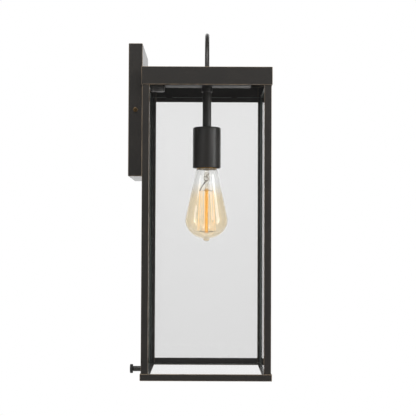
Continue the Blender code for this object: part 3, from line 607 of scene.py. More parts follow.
# %% Copies of a piece round the lamp's axis
QUARTER_TURN = math.pi / 2
ring_tree, ring_in = new_tree("copies_round_axis", Piece="Object", Copies="Int", Axis="Vector",
                              Flat="Material", Edge="Material")
source = add(ring_tree, "GeometryNodeObjectInfo", {"Object": ring_in["Piece"]}, out="Geometry",
             transform_space="ORIGINAL")
to_axis = add(ring_tree, "ShaderNodeVectorMath", (ring_in["Axis"], (-1, -1, -1)), operation="MULTIPLY")
centred = add(ring_tree, "GeometryNodeTransform", {"Geometry": source, "Translation": to_axis})
quarters = turned_copies(ring_tree, centred, ring_in["Copies"], QUARTER_TURN)
round_lamp = add(ring_tree, "GeometryNodeTransform", {
    "Geometry": quarters, "Translation": ring_in["Axis"]})
real = add(ring_tree, "GeometryNodeRealizeInstances", (round_lamp,))
slot_number = add(ring_tree, "GeometryNodeInputMaterialIndex")
is_flat = add(ring_tree, MATH, (slot_number, 0.5), operation="LESS_THAN")
is_edge = add(ring_tree, MATH, (slot_number, 0.5), operation="GREATER_THAN")
flat_dressed = add(ring_tree, "GeometryNodeSetMaterial", {
    "Geometry": real, "Selection": is_flat, "Material": ring_in["Flat"]})
all_dressed = add(ring_tree, "GeometryNodeSetMaterial", {
    "Geometry": flat_dressed, "Selection": is_edge, "Material": ring_in["Edge"]})
add(ring_tree, "NodeGroupOutput", (all_dressed,))
print(ring_tree.name, "has", len(ring_tree.nodes), "nodes")


def ring_of(name, pattern, copies, materials):
    """Copies of a shaped pattern round the lamp's axis. The pattern itself is then removed."""
    made = grow(name, ring_tree, sharp=0, Piece=pattern, Copies=copies, Axis=LAMP_AXIS,
                Flat=materials[0], Edge=materials[-1])
    bpy.data.objects.remove(pattern)
    return made


# %% Posts and clips
post = formed("post_pattern", "post_back_near", sheet, 0.42)
keep(ring_of("corner_posts", post, 4, sheet), "bronze",
     "post_back_near", "post_front_near", "post_front_far", "post_back_far")
for end in ("a", "b"):
    clip = formed("clip_pattern", f"clip_near_{end}", (COAT,), 0.15)
    keep(ring_of(f"pane_clips_{end}", clip, 3, (COAT,)), "bronze",
         *[f"clip_{side}_{end}" for side in ("near", "front", "far")])
    keep(formed(f"pane_clip_back_{end}", f"clip_back_{end}", (COAT,), 0.15), "bronze", f"clip_back_{end}")

# %% [markdown]
# ## Panes
# Two panes run the full width and two fit between them. Their faces are polished float glass and
# their edges are cut and ground, so the edge shows as a grey-green line wherever it is bare.

# %% Four panes
for side, across in (("near", 1), ("far", 1), ("front", 0), ("back", 0)):
    pane = formed(f"glass_pane_{side}", f"pane_{side}", (PANE_GLASS, PANE_EDGE), 0.25, flat_only=across)
    keep(pane, "clear_glass", f"pane_{side}")

# %% [markdown]
# ## Hanging loop
# A 6.5 mm rod is bent to a half circle with two straight legs, which pass through the roof to nuts
# inside. Its centre line follows a rule: up a leg, round half a turn, and down the other. A curve
# whose points are placed by that rule needs only four sizes, and a round section is run along it.

# %% How far round the bend each point is
rod_tree, rod_in = new_tree("bent_rod", Arch="Float", Rod="Float", Foot="Float", Spring="Float",
                            Axis="Vector", Finish="Material")
arch = rod_in["Arch"]
line = add(rod_tree, "GeometryNodeCurvePrimitiveLine")
dense = add(rod_tree, "GeometryNodeResampleCurve", {"Curve": line, "Count": 161})
share = add(rod_tree, "GeometryNodeSplineParameter", out="Factor")
leg = add(rod_tree, MATH, (rod_in["Spring"], rod_in["Foot"]), operation="SUBTRACT")
bend = add(rod_tree, MATH, (arch, math.pi), operation="MULTIPLY")
whole = add(rod_tree, MATH, (leg, 2.0, bend), operation="MULTIPLY_ADD")
travelled = add(rod_tree, MATH, (share, whole), operation="MULTIPLY")
past_leg = add(rod_tree, MATH, (travelled, leg), operation="SUBTRACT")
round_bend = add(rod_tree, MATH, (past_leg, arch), operation="DIVIDE")
started = add(rod_tree, MATH, (round_bend, 0.0), operation="MAXIMUM")
swing = add(rod_tree, MATH, (started, math.pi), operation="MINIMUM")
print(rod_tree.name, "has", len(rod_tree.nodes), "nodes so far")

# %% Where that puts it, and the rod along the points
before_bend = add(rod_tree, MATH, (past_leg, -1.0), operation="MULTIPLY")
below_first = add(rod_tree, MATH, (before_bend, 0.0), operation="MAXIMUM")
after_bend = add(rod_tree, MATH, (past_leg, bend), operation="SUBTRACT")
below_last = add(rod_tree, MATH, (after_bend, 0.0), operation="MAXIMUM")
sine = add(rod_tree, MATH, (swing,), operation="SINE")
cosine = add(rod_tree, MATH, (swing,), operation="COSINE")
on_arch = add(rod_tree, MATH, (sine, arch, rod_in["Spring"]), operation="MULTIPLY_ADD")
on_first = add(rod_tree, MATH, (on_arch, below_first), operation="SUBTRACT")
height = add(rod_tree, MATH, (on_first, below_last), operation="SUBTRACT")
reach = add(rod_tree, MATH, (cosine, arch), operation="MULTIPLY")
aside = add(rod_tree, MATH, (reach, -1.0), operation="MULTIPLY")
spot = add(rod_tree, "ShaderNodeCombineXYZ", {"Y": aside, "Z": height})
shifted = add(rod_tree, "ShaderNodeVectorMath", (spot, rod_in["Axis"]), operation="ADD")
bent = add(rod_tree, "GeometryNodeSetPosition", {"Geometry": dense, "Position": shifted})
end_tree(rod_tree, round_bar(rod_tree, bent, rod_in["Rod"], 32), rod_in["Finish"])

loop_low, loop_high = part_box("hanging_loop")
rod_radius = (loop_high.x - loop_low.x) / 2
arch_radius = (loop_high.y - loop_low.y) / 2 - rod_radius
loop = grow("hanging_loop_rod", rod_tree, Arch=arch_radius, Rod=rod_radius, Foot=loop_low.z,
            Spring=loop_high.z - rod_radius - arch_radius, Axis=LAMP_AXIS, Finish=COAT)
keep(loop, "bronze", "hanging_loop")

# %% [markdown]
# ## Stem, collar, arm and socket cup
# These are turned or drawn round parts. The stem is a threaded lamp tube: threads show only at its
# ends, inside the roof and the cup. The cup is a deep-drawn shell, so its shoulder is a soft curve.

# %% Stem with a thread at each end
TUBE_PITCH, TUBE_DEPTH = 0.94, 0.34
tube_outline = rings(6.5, 49.0, -5.8 / 37, 37) + [(6.5, 43.2), (6.5, -18.8)]
tube_outline += rings(6.5, -19.0, -0.16, 57) + [(4.9, -28.0), (4.9, 49.0)]
top_thread = thread(TUBE_PITCH, TUBE_DEPTH, 43.6, 49.4, inside=5.5)
foot_thread = thread(TUBE_PITCH, TUBE_DEPTH, -28.4, -20.0, inside=5.5)


def stem_threads(radii, heights, turn):
    return foot_thread(*top_thread(radii, heights, turn), turn)


keep(turned("lamp_stem", tube_outline, COAT, segments=72, reshape=stem_threads), "bronze", "stem")

# %% Collar, arm and cup
ARM_AT = (0, 0, 45.3 * MM)
collar = eased([(8.2, 42.7), (8.2, 34.6), (6.8, 34.6), (6.8, 42.7)], 0.9)
keep(turned("stem_ring", collar, COAT), "bronze", "stem_collar")
coupling = eased([(10.6, 49.05), (10.6, 28.3), (5.3, 28.3), (5.3, 46.0), (3.8, 46.0), (3.8, 49.05)], 0.6)
keep(turned("arm_collar", coupling, COAT, at=ARM_AT, axis=OUT), "bronze", "arm_coupling")
cup = [(6.8, -18.5)] + corner((0.0, -18.5), (20.9, -18.5), (20.9, -60.0), 2.6, steps=8)
cup += corner((20.9, -30.0), (20.9, -79.0), (19.9, -79.0), 0.45)
cup += corner((20.9, -79.0), (19.9, -79.0), (19.9, -30.0), 0.45)
cup += [(19.9, -21.6), (19.1, -20.2), (17.6, -19.5), (6.8, -19.5)]
keep(turned("socket_cup_shell", cup, COAT, segments=128), "bronze", "socket_cup")

# %% [markdown]
# ## Porcelain socket
# Inside the cup a porcelain body holds a brass shell with the lamp's thread rolled into it, and a
# springy tongue that touches the lamp's tip. A steel strap hangs them from the stem.

# %% Socket parts
LAMP_PITCH = 3.629
body_outline = eased([(0.0, -44.0), (18.2, -44.0), (18.2, -77.0), (15.6, -77.0), (15.6, -49.0),
                      (0.0, -49.0)], 0.7)
keep(turned("porcelain_body", body_outline, PORCELAIN), "porcelain", "socket_insulator")
shell = rings(14.7, -49.5, -0.3, 95) + [(15.2, -79.3), (15.2, -80.1), (14.6, -80.3), (14.2, -79.4)]
shell += rings(14.15, -77.7, 0.3, 95)
rolled = thread(LAMP_PITCH, 0.55, -78.2, -50.4, inside=10.0)
keep(turned("threaded_shell", shell, BRASS, reshape=rolled), "brass", "socket_shell")
keep(formed("contact_tongue", "socket_contact", (BRASS,), 0.15), "brass", "socket_contact")
keep(formed("socket_strap", "socket_bracket", (ZINC,), 0.08), "steel", "socket_bracket")

# %% [markdown]
# ## Nuts and screws
# A hexagon nut is a turned part whose sides are then milled flat, with both faces chamfered by the
# lathe first. The same order works here: the outline is spun, and a rule trims it to six flats.

# %% Hexagon nuts
def hexagon(across, height):
    """A reshape that trims a turned blank to six flats and chamfers their corners at both faces."""
    def reshape(radii, heights, turn):
        slice_angle = np.mod(turn, math.pi / 3) - math.pi / 6
        flats = across / 2 / np.cos(slice_angle)
        depth = np.minimum(heights + height / 2, height / 2 - heights)
        chamfer = across / 2 * 1.005 + 1.4 * np.maximum(depth, 0.0)
        trimmed = np.minimum(np.minimum(flats, chamfer), radii)
        return np.where(radii > across * 0.42, trimmed, radii), heights
    return reshape


def nut(name, node, across, bore, axis):
    """A hexagon nut in a packed nut's place. Its width across flats and bore radius are in mm."""
    low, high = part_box(node)
    thick = abs((high - low).dot(Vector(axis))) / MM
    half, face = thick / 2, across / 2 - 0.1
    outline = [(bore + 0.5, half), (face, half)] + rings(across / math.sqrt(3), half, -thick / 12, 13)
    outline += [(face, -half), (bore + 0.5, -half), (bore, 0.5 - half), (bore, half - 0.5)]
    piece = turned(name, outline, ZINC, at=(low + high) / 2, axis=axis, segments=72,
                   reshape=hexagon(across, thick))
    return keep(piece, "steel", node)


nut("stem_nut", "stem_locknut", 18, 6.8, UP)
nut("strap_nut", "socket_nut", 17, 6.8, UP)
nut("arm_nut", "arm_locknut", 15, 5.3, OUT)
for end in ("near", "far"):
    nut(f"loop_leg_nut_{end}", f"loop_nut_{end}", 10, 3.55, UP)
    nut(f"roof_plate_nut_{end}", f"roof_nut_{end}", 7, 2.3, OUT)

# %% Screws with a driver's recess
SCREW_PITCH, SCREW_DEPTH, SCREW_STEP = 0.7, 0.3, 0.12
RIM = 0.42  # share of a head's height that stands straight, below its dome


def driver_recess(top, size, depth):
    """A reshape that sinks a tapered cross into the middle of a head whose top is at a height."""
    def reshape(radii, heights, turn):
        x, y = np.abs(radii * np.cos(turn)), np.abs(radii * np.sin(turn))
        across = np.clip((0.26 * size - np.minimum(x, y)) / (0.1 * size), 0, 1)
        along = np.clip((size - np.maximum(x, y)) / (0.35 * size), 0, 1)
        on_head = (heights > 0.3 * top) & (radii < 1.2 * size)
        return radii, heights - np.where(on_head, depth * across * along, 0.0)
    return reshape


def screw(node, head, head_height, length, towards, slot, material, cut_material=None):
    """A 4 mm machine screw in a packed screw's place: domed head, driver's recess, rolled thread."""
    shank = 2.0
    low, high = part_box(node)
    way = Vector(towards)
    reach = abs((high - low).dot(way)) / 2
    seat = (low + high) / 2 + way * (reach - head_height * MM)

    def dome(radius):
        return head_height * (RIM + (1 - RIM) * math.sqrt(max(0.0, 1 - (radius / head) ** 2)))

    radii = [head * math.sin(math.radians(3.6 * i)) for i in range(26)]
    outline = [(r, dome(r)) for r in radii] + [(head, 0.0), (shank, 0.0)]
    outline += rings(shank, -0.2, -SCREW_STEP, int((length - 0.8) / SCREW_STEP))
    outline += [(shank - 0.5, -length), (0.0, -length)]
    cut = thread(SCREW_PITCH, SCREW_DEPTH, 0.2 - length, -0.6, inside=shank - 0.2)
    sunk = driver_recess(head_height, head * 0.54, head_height * 0.6)
    piece = turned(node + "_turned", outline, material, at=seat, axis=towards, segments=64,
                   reshape=lambda radii, heights, turn: sunk(*cut(radii, heights, turn), turn))
    piece.data.materials.append(cut_material or material)
    for face in piece.data.polygons:
        away = (face.center - seat) / MM
        height = away.dot(way)
        aside = (away - way * height).length
        face.material_index = int(0 < height < dome(aside) - 0.08 and aside < head * 0.7)
    return keep(piece, slot, node)


screw("plate_screw_near", 3.5, 1.6, 9.0, (0, -1, 0), "brass", SCREW, WORN_BRASS)
screw("plate_screw_far", 3.5, 1.6, 9.0, (0, 1, 0), "brass", SCREW, WORN_BRASS)
screw("roof_screw_near", 3.5, 2.2, 9.0, (-1, 0, 0), "steel", ZINC)
screw("roof_screw_far", 3.5, 2.2, 9.0, (-1, 0, 0), "steel", ZINC)
screw("ground_screw", 4.0, 2.0, 4.0, OUT, "green_screw", GREEN)

# %% [markdown]
# ## Behind the plate: strap, nipple, leads and wire nuts
# The strap screws to the outlet box. Three leads end in twist-on wire nuts: tapered nylon caps with
# ribs for the fingers. The ribs repeat round the cap, so a tree sets them there.

# %% Strap and nipple
keep(formed("outlet_strap", "mounting_strap", (ZINC,), 0.2), "steel", "mounting_strap")
nipple = rings(5.0, 44.0, -0.16, 188) + [(3.5, 14.0), (3.5, 44.0)]
keep(turned("arm_tube", nipple, ZINC, at=ARM_AT, axis=OUT, segments=64,
            reshape=thread(TUBE_PITCH, 0.3, 13.6, 44.4, inside=4.0)), "steel", "arm_nipple")

# %% Wire nuts with ribs
cap_tree, cap_in = new_tree("ribbed_cap", Blank="Object", Ribs="Int", Length="Float", Mouth="Float",
                            Tip="Float", Rib="Float", Place="Vector", Finish="Material")
blank = add(cap_tree, "GeometryNodeObjectInfo", {"Object": cap_in["Blank"]}, out="Geometry",
            transform_space="ORIGINAL")
drop = add(cap_tree, MATH, (cap_in["Length"], -1.0), operation="MULTIPLY")
rib_top = add(cap_tree, "ShaderNodeCombineXYZ", {"X": cap_in["Mouth"]})
rib_foot = add(cap_tree, "ShaderNodeCombineXYZ", {"X": cap_in["Tip"], "Z": drop})
rib_line = add(cap_tree, "GeometryNodeCurvePrimitiveLine", {"Start": rib_top, "End": rib_foot})
rib = round_bar(cap_tree, rib_line, cap_in["Rib"], 8)
rib_step = add(cap_tree, MATH, (math.tau, cap_in["Ribs"]), operation="DIVIDE")
ribs = turned_copies(cap_tree, rib, cap_in["Ribs"], rib_step)
placed = add(cap_tree, "GeometryNodeTransform", {"Geometry": ribs, "Translation": cap_in["Place"]})
whole_cap = add(cap_tree, "GeometryNodeJoinGeometry", (placed,))
cap_tree.links.new(blank, whole_cap.node.inputs[0])
end_tree(cap_tree, whole_cap, cap_in["Finish"])


def wire_nut(node):
    """A ribbed nylon cap, hanging mouth up in its packed place."""
    low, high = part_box(node)
    mouth = Vector(((low.x + high.x) / 2, (low.y + high.y) / 2, high.z))
    skin = eased([(0.0, -10.0), (1.7, -10.0), (1.7, 0.0), (4.4, 0.0), (4.75, -0.9), (2.75, -18.8),
                  (1.9, -20.0), (0.0, -20.0)], 0.4)
    cap = turned("cap_blank", skin, ORANGE, at=mouth, segments=48)
    made = grow(node + "_cap", cap_tree, Blank=cap, Ribs=14, Length=18.4 * MM, Mouth=4.6 * MM,
                Tip=2.7 * MM, Rib=0.3 * MM, Place=mouth - Vector((0, 0, 0.9 * MM)), Finish=ORANGE)
    bpy.data.objects.remove(cap)
    return keep(made, "orange_plastic", node)


for lead in ("hot", "neutral", "ground"):
    wire_nut(lead + "_wire_nut")

# %% Leads, smoothed from their packed routes
def smoothed(name, node, material, slot):
    """A wire that keeps its packed route, with a rounder section and bends."""
    piece = linked(name, merged_copy(node), material)
    rounder = piece.modifiers.new("rounder", "SUBSURF")
    rounder.levels = rounder.render_levels = 1
    return keep(settle(piece, sharp=60), slot, node)


smoothed("lead_black", "hot_lead", BLACK_WIRE, "black_wire")
smoothed("lead_white", "neutral_lead", WHITE_WIRE, "white_wire")
smoothed("lead_bare", "ground_lead", COPPER, "copper")

# %% [markdown]
# ## Standoff at the foot
# A threaded barrel and a rubber foot keep the base parallel to the wall. The barrel is knurled so
# that fingers can turn it: a shallow cut wave round its rim, made by the same rule as a thread.

# %% Foot, barrel and stud
STANDOFF_AT = (0.0, 0.0, sum(v.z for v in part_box("standoff_stud")) / 2)
foot = eased([(0.0, 4.2), (6.65, 4.2), (6.65, 0.0), (0.0, 0.0)], 0.9)
keep(turned("rubber_foot", foot, RUBBER, at=STANDOFF_AT, axis=OUT, segments=64), "rubber",
     "standoff_foot", body="standoff_pad")


GROOVES, GROOVE_DEPTH = 28, 0.14


def knurl(radii, heights, turn):
    """A reshape that cuts shallow grooves round the barrel, clear of both its ends."""
    ends = np.clip((heights - 5.0) / 0.5, 0, 1) * np.clip((11.0 - heights) / 0.5, 0, 1)
    groove = GROOVE_DEPTH * (0.5 + 0.5 * np.cos(GROOVES * turn)) * ends
    return np.where(radii > 3.5, radii - groove, radii), heights


barrel = [(2.3, 6.0), (2.3, 15.6), (2.5, 15.8), (3.6, 15.8), (3.9, 15.5), (3.9, 11.2), (3.9, 10.8),
          (3.9, 10.2), (3.9, 8.0), (3.9, 5.8), (3.9, 5.2), (3.7, 4.7), (3.4, 4.5), (0.0, 4.5), (0.0, 6.0)]
keep(turned("knurled_barrel", barrel, COAT, at=STANDOFF_AT, axis=OUT, segments=168, reshape=knurl),
     "bronze", "standoff_barrel", body="standoff_sleeve")
stud = [(0.0, 22.5), (2.9, 22.5), (3.3, 22.2), (3.4, 21.9), (3.4, 21.6), (2.0, 21.6)]
stud += rings(2.0, 21.4, -SCREW_STEP, 86) + [(1.6, 10.6), (0.0, 10.6)]
keep(turned("threaded_stud", stud, ZINC, at=STANDOFF_AT, axis=OUT, segments=48,
            reshape=thread(SCREW_PITCH, SCREW_DEPTH, 10.7, 20.6, inside=1.8)), "steel", "standoff_stud")

# %% [markdown]
# ## The lamp
# The bulb is a cone that runs tangent into a half ellipse, with the little pip where the glass was
# sealed off. Its wall is a shell 0.8 mm thick: outer and inner skins follow the same outline, a
# fixed step apart, so that light bends in and out of it as it does in real glass.

# %% Bulb outline and envelope
WIDEST_AT, HALF_WIDTH, BOWL_DEPTH, WALL = -157.0, 32.0, 28.0, 0.8
PIP_RADIUS = 7.4
shoulder = Vector((16.4, -82.6))


def bulb_outline():
    """The outer skin from the neck inside the cap down to the pip."""
    a, b = shoulder.x / HALF_WIDTH, (shoulder.y - WIDEST_AT) / BOWL_DEPTH
    touch = math.atan2(b, a) - math.acos(1 / math.hypot(a, b))
    last = -math.acos(PIP_RADIUS / HALF_WIDTH)
    turns = [touch + (last - touch) * i / 40 for i in range(41)]
    bowl = [(HALF_WIDTH * math.cos(t), WIDEST_AT + BOWL_DEPTH * math.sin(t)) for t in turns]
    cone = [tuple(shoulder.lerp(Vector(bowl[0]), i / 10)) for i in range(10)]
    neck = [(11.5, -73.0), (11.5, -79.6), (11.9, -80.4), (13.2, -80.8), (14.9, -81.1), (15.8, -81.7)]
    pip = [(6.3, -184.65), (5.5, -185.15), (4.9, -185.8), (4.3, -186.7), (3.5, -187.5), (2.4, -188.1),
           (1.1, -188.37), (0.0, -188.4)]
    return neck + cone + bowl + pip


def offset(line, distance):
    """The line moved towards the axis by a distance, point by point."""
    inner = []
    for i, point in enumerate(line):
        before, after = Vector(line[max(i - 1, 0)]), Vector(line[min(i + 1, len(line) - 1)])
        along = (after - before).normalized()
        inner.append((max(point[0] + distance * along.y, 0.0), point[1] - distance * along.x))
    return inner


skin = bulb_outline()
inner_skin = [p for p in offset(skin, WALL) if p[1] > -183.8]
inner_skin += [(5.3, -184.4), (4.6, -185.0), (4.0, -185.9), (3.3, -186.7), (2.2, -187.3), (0.0, -187.6)]
envelope = turned("bulb", skin + inner_skin[::-1], BULB_GLASS, segments=128)
keep(envelope, "amber_glass", "lamp_envelope", body="lamp")

# %% [markdown]
# ## Screw cap
# The cap is pressed brass with one rolled thread, a right-hand helix of seven turns to the inch.
# Plain rings would look wrong here, so the helix is real: the wall's radius rises and falls with
# height and angle together.

# %% Cap, its glass and its tip
cap = [(8.2, -57.0), (10.2, -57.0), (11.6, -57.4), (12.7, -58.3)] + rings(13.2, -58.9, -0.3, 66)
cap += [(13.2, -78.9), (13.2, -79.8), (13.0, -80.0), (12.6, -79.9)] + rings(12.6, -78.4, 0.3, 65)
cap += [(12.1, -58.9), (11.3, -58.0), (10.0, -57.6), (8.2, -57.6)]
keep(turned("screw_cap", cap, BRASS, reshape=thread(LAMP_PITCH, 0.7, -78.8, -59.4, inside=11.9)),
     "brass", "lamp_cap", body="lamp")
bead = eased([(0.0, -53.2), (5.6, -53.2), (7.8, -56.7), (7.8, -57.0), (0.0, -57.0)], 0.9)
keep(turned("cap_glass_bead", bead, BLACK_GLASS, segments=64), "black_glass", "lamp_cap_insulator",
     body="lamp")
tip = eased([(0.0, -51.7), (3.0, -51.9), (4.6, -52.9), (0.0, -52.9)], 0.5)
keep(turned("solder_tip", tip, BRASS, segments=64), "brass", "lamp_eyelet", body="lamp_contact")

# %% [markdown]
# ## Glass mount
# Inside, a flared tube is pinched flat where the two lead wires pass through it, and a glass rod
# goes on down to the last button. The pinch is made by pressing the section thin in one direction.

# %% Mount
def pinch(radii, heights, turn):
    """A reshape that presses the tube flat at one height, on a slant to the view."""
    press = np.exp(-((heights + 95.0) / 5.5) ** 2)
    widen = 1 + 0.55 * press * np.cos(turn - 0.4) ** 2 - 0.4 * press * np.sin(turn - 0.4) ** 2
    return radii * widen, heights


glass = filled(eased([
    (0.0, -70.5), (8.4, -70.5), (8.6, -71.6), (4.6, -76.0), (3.4, -84.0), (3.2, -98.0), (2.3, -102.5),
    (2.2, -110.4), (3.3, -111.6), (3.3, -113.4), (2.2, -114.6), (2.1, -172.8), (3.0, -174.2),
    (2.5, -175.4), (0.0, -175.8)], 0.9), 1.5)
keep(turned("glass_mount", glass, MOUNT_GLASS_PAINTED_LIGHT, segments=48, reshape=pinch), "clear_glass", "lamp_mount",
     body="lamp")

# %% [markdown]
# ## Squirrel-cage filament
# One long wire is laced up and down between two sets of hooks, so it makes tall hairpins round a
# cage. Its points follow a rule of their number, which Geometry Nodes can count: two points to a
# strand, top and bottom by turns, each strand a step further round. A real filament is 0.1 mm
# thick. It is drawn at 0.16 mm, as thick as its glow looks.

# %% Which strand a point is on, and whether it is at its foot
cage_tree, cage_in = new_tree("laced_cage", Strands="Int", Top_Radius="Float", Top_Height="Float",
                              Foot_Radius="Float", Foot_Height="Float", Start="Float", Sweep="Float",
                              Wire="Float", Axis="Vector", Finish="Material")
count = add(cage_tree, MATH, (cage_in["Strands"], 2.0), operation="MULTIPLY")
base_line = add(cage_tree, "GeometryNodeCurvePrimitiveLine")
points = add(cage_tree, "GeometryNodeResampleCurve", {"Curve": base_line, "Count": count})
number = add(cage_tree, "GeometryNodeInputIndex")
# A little is added before each rounding down, so that a whole number never falls short of itself.
half_number = add(cage_tree, MATH, (number, 0.5, 0.05), operation="MULTIPLY_ADD")
strand = add(cage_tree, MATH, (half_number,), operation="FLOOR")
next_half = add(cage_tree, MATH, (number, 0.5, 0.55), operation="MULTIPLY_ADD")
phase = add(cage_tree, MATH, (next_half,), operation="FLOOR")
at_foot = add(cage_tree, MATH, (phase, 2.0), operation="MODULO")
print(cage_tree.name, "has", len(cage_tree.nodes), "nodes so far")

# %% Where that puts it, and the wire along the points
gaps = add(cage_tree, MATH, (cage_in["Strands"], 1.0), operation="SUBTRACT")
step = add(cage_tree, MATH, (cage_in["Sweep"], gaps), operation="DIVIDE")
# At its foot a pair of strands is drawn in to one hook, so the two points there close up to a V.
odd = add(cage_tree, MATH, (strand, 2.0), operation="MODULO")
which_way = add(cage_tree, MATH, (odd, 0.5), operation="SUBTRACT")
pair = add(cage_tree, MATH, (which_way, -0.62), operation="MULTIPLY")
nudged = add(cage_tree, MATH, (pair, at_foot, strand), operation="MULTIPLY_ADD")
bearing = add(cage_tree, MATH, (nudged, step, cage_in["Start"]), operation="MULTIPLY_ADD")
radius = add(cage_tree, "ShaderNodeMapRange", {
    "Value": at_foot, "To Min": cage_in["Top_Radius"], "To Max": cage_in["Foot_Radius"]})
level = add(cage_tree, "ShaderNodeMapRange", {
    "Value": at_foot, "To Min": cage_in["Top_Height"], "To Max": cage_in["Foot_Height"]})
cosine = add(cage_tree, MATH, (bearing,), operation="COSINE")
sine = add(cage_tree, MATH, (bearing,), operation="SINE")
spot = add(cage_tree, "ShaderNodeCombineXYZ", {
    "X": add(cage_tree, MATH, (radius, cosine), operation="MULTIPLY"),
    "Y": add(cage_tree, MATH, (radius, sine), operation="MULTIPLY"), "Z": level})
shifted = add(cage_tree, "ShaderNodeVectorMath", (spot, cage_in["Axis"]), operation="ADD")
laced = add(cage_tree, "GeometryNodeSetPosition", {"Geometry": points, "Position": shifted})
bends = add(cage_tree, "GeometryNodeFilletCurve", {
    "Curve": laced, "Count": 5, "Radius": 0.8 * MM, "Limit Radius": True}, mode="POLY")
end_tree(cage_tree, round_bar(cage_tree, bends, cage_in["Wire"], 8), cage_in["Finish"])

START, SWEEP, STRANDS = math.radians(200), math.radians(340), 14
cage = grow("filament_cage", cage_tree, Strands=STRANDS, Top_Radius=10.6 * MM, Top_Height=-114 * MM,
            Foot_Radius=13.4 * MM, Foot_Height=-172.6 * MM, Start=START, Sweep=SWEEP, Wire=0.08 * MM,
            Axis=LAMP_AXIS, Finish=TUNGSTEN)
keep(cage, "filament", "lamp_filament", body="lamp")

# %% [markdown]
# ## Hooks
# Short wires stand out from each glass button and end in a hook round the filament. They are
# spokes, so a tree draws one and turns copies of it about the axis.

# %% Spokes on both buttons
spoke_tree, spoke_in = new_tree("button_spokes", Hooks="Int", Inner="Vector", Outer="Vector",
                                Wire="Float", Start="Float", Step="Float", Axis="Vector",
                                Finish="Material")
spoke = add(spoke_tree, "GeometryNodeCurvePrimitiveLine", {
    "Start": spoke_in["Inner"], "End": spoke_in["Outer"]})
eye_radius = add(spoke_tree, MATH, (spoke_in["Wire"], 1.9), operation="MULTIPLY")
eye = add(spoke_tree, "GeometryNodeMeshUVSphere", {"Segments": 10, "Rings": 6, "Radius": eye_radius})
eye_placed = add(spoke_tree, "GeometryNodeTransform", {
    "Geometry": eye, "Translation": spoke_in["Outer"]})
hook = add(spoke_tree, "GeometryNodeJoinGeometry", (round_bar(spoke_tree, spoke, spoke_in["Wire"], 8),))
spoke_tree.links.new(eye_placed, hook.node.inputs[0])
spread = turned_copies(spoke_tree, hook, spoke_in["Hooks"], spoke_in["Step"], spoke_in["Start"])
over = add(spoke_tree, "GeometryNodeTransform", {"Geometry": spread, "Translation": spoke_in["Axis"]})
end_tree(spoke_tree, over, spoke_in["Finish"])

STEP = SWEEP / (STRANDS - 1)
for name, hooks, inner, outer, first in (
        ("upper_hooks", 6, (2.6, 0, -112.5), (10.0, 0, -113.4), 1.5),
        ("lower_hooks", 7, (2.4, 0, -174.6), (13.3, 0, -173.1), 0.5)):
    piece = grow(name, spoke_tree, Hooks=hooks, Inner=Vector(inner) * MM, Outer=Vector(outer) * MM,
                 Wire=0.22 * MM, Start=START + first * STEP, Step=2 * STEP, Axis=LAMP_AXIS,
                 Finish=SUPPORT)
    keep(piece, "steel", body="lamp")

# %% Lead-in wires, kinked as the lamp maker bends them
lead_routes = {
    "a": [(2.9, -2.4, -84.5), (3.6, -2.6, -87.5), (-0.1, -4.6, -91.1), (2.6, -4.6, -96.0),
          (-2.6, -4.6, -101.0), (-7.4, -4.2, -108.2), (-9.96, -3.63, -113.2)],
    "b": [(-2.9, 2.6, -84.5), (-3.4, 3.0, -89.0), (-0.6, 4.9, -94.0), (-3.4, 4.3, -100.0),
          (-7.2, 2.2, -107.4), (-10.6, 0.0, -113.2)]}
for end, route in lead_routes.items():
    keep(wire(f"lead_in_{end}", route, 0.5, SUPPORT), "steel", f"lead_in_wire_{end}", body="lamp")

# %% [markdown]
# ## Floor, light and camera
# The floor is plain and pale, well below the lantern and not part of it. Four tall soft boxes
# stand round it, two beside the camera and one at each side, and draw long highlights down the
# round parts and the bulb. One more hangs above, and a lit white wall stands behind. The room is
# white where it is seen and dimmer where it only lights, so that dark metal stays dark.

# %% Floor
FLOOR_RADIUS, FLOOR_HEIGHT = 2.5, -1.2
floor_mesh = bpy.data.meshes.new("studio_floor")
bm = bmesh.new()
bmesh.ops.create_circle(bm, cap_ends=True, segments=96, radius=FLOOR_RADIUS)
bm.transform(Matrix.Translation((LAMP_AXIS[0], 0, FLOOR_HEIGHT)))
bm.to_mesh(floor_mesh)
bm.free()
pale, pale_tree, pale_shader = finish("pale_studio_floor", "#f2f1ef", Roughness=0.7,
                                      Emission_Color=linear("#ffffff"), Emission_Strength=0.2)
feed(pale_shader, Base_Color=tint(pale_tree, noise(pale_tree, 90), "#f4f3f1", "#eeedeb"))
floor = linked("studio_floor", floor_mesh, pale)
print("floor", FLOOR_HEIGHT, "m below the plate's centre")

# %% Room
world = bpy.data.worlds.new("white_studio")
bpy.context.scene.world = world
world.use_nodes = True
room = world.node_tree
room.nodes.clear()
rays = add(room, "ShaderNodeLightPath").node.outputs
seen = add(room, MATH, (rays["Is Camera Ray"], rays["Is Transmission Ray"]), operation="MAXIMUM")
white = add(room, "ShaderNodeBackground", {"Color": linear("#ffffff"), "Strength": 1.0})
dim = add(room, "ShaderNodeBackground", {"Color": linear("#ffffff"), "Strength": 0.10})
add(room, "ShaderNodeOutputWorld", (add(room, "ShaderNodeMixShader", (seen, dim, white)),))


# %% Soft boxes
AIM_HEIGHT = -0.15


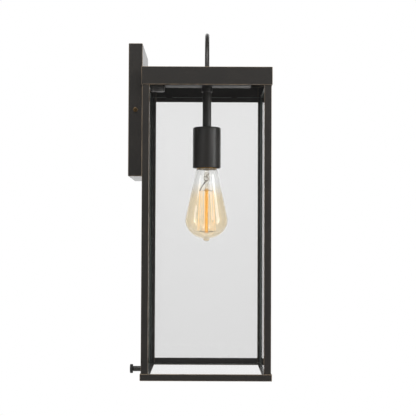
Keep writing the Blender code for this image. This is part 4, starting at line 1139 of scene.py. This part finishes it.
def soft_box(name, bearing, distance, rise, width, height, brightness):
    """A soft box at a bearing in degrees, 0 on the camera's side, its power set from its brightness."""
    light = bpy.data.lights.new(name, "AREA")
    light.shape = "RECTANGLE"
    light.size, light.size_y = width, height
    light.energy = brightness * math.pi * width * height
    turn = math.radians(bearing)
    stand = Vector((LAMP_AXIS[0] + distance * math.sin(turn), -distance * math.cos(turn), rise))
    aim = Vector((LAMP_AXIS[0], 0, AIM_HEIGHT)) - stand
    obj = bpy.data.objects.new(name, light)
    bpy.context.scene.collection.objects.link(obj)
    obj.matrix_world = Matrix.Translation(stand) @ aim.to_track_quat("-Z", "Y").to_matrix().to_4x4()
    print(name, round(light.energy, 1), "W")
    return obj


soft_box("box_front_left", -34, 1.7, 0.6, 0.9, 1.3, 1.2)
soft_box("box_front_right", 38, 1.7, 0.5, 0.7, 1.3, 2.2)
soft_box("box_side_left", -68, 1.5, 0.0, 0.35, 1.3, 3.2)
soft_box("box_side_right", 64, 1.5, 0.0, 0.6, 1.3, 4.4)
soft_box("box_above", 0, 1.0, 1.2, 1.2, 0.8, 5.0)
# The room is already white where it is seen through glass, so the wall is left out of those rays.
soft_box("wall_behind", 180, 1.7, 0.0, 3.4, 3.0, 1.5).visible_transmission = False

# %% Camera
LENS = 84.36
STAND = Vector((0.11393, -1.45401, -0.17976))
YAW, TILT, ROLL = math.radians(0.0277), math.radians(1.6195), math.radians(0.2423)
ahead = Vector((math.sin(YAW) * math.cos(TILT), math.cos(YAW) * math.cos(TILT), math.sin(TILT)))
level = Vector((math.cos(YAW), -math.sin(YAW), 0))
upright = level.cross(ahead)
right = level * math.cos(ROLL) + upright * math.sin(ROLL)
above = upright * math.cos(ROLL) - level * math.sin(ROLL)
camera_data = bpy.data.cameras.new("studio_camera")
camera_data.lens = LENS
camera = bpy.data.objects.new("studio_camera", camera_data)
bpy.context.scene.collection.objects.link(camera)
turned_to = Matrix((right, above, -ahead)).transposed().to_4x4()
camera.matrix_world = Matrix.Translation(STAND) @ turned_to
bpy.context.scene.camera = camera
bpy.context.scene.view_settings.view_transform = "Standard"
print("camera", round(STAND.length, 2), "m away, lens", LENS, "mm")
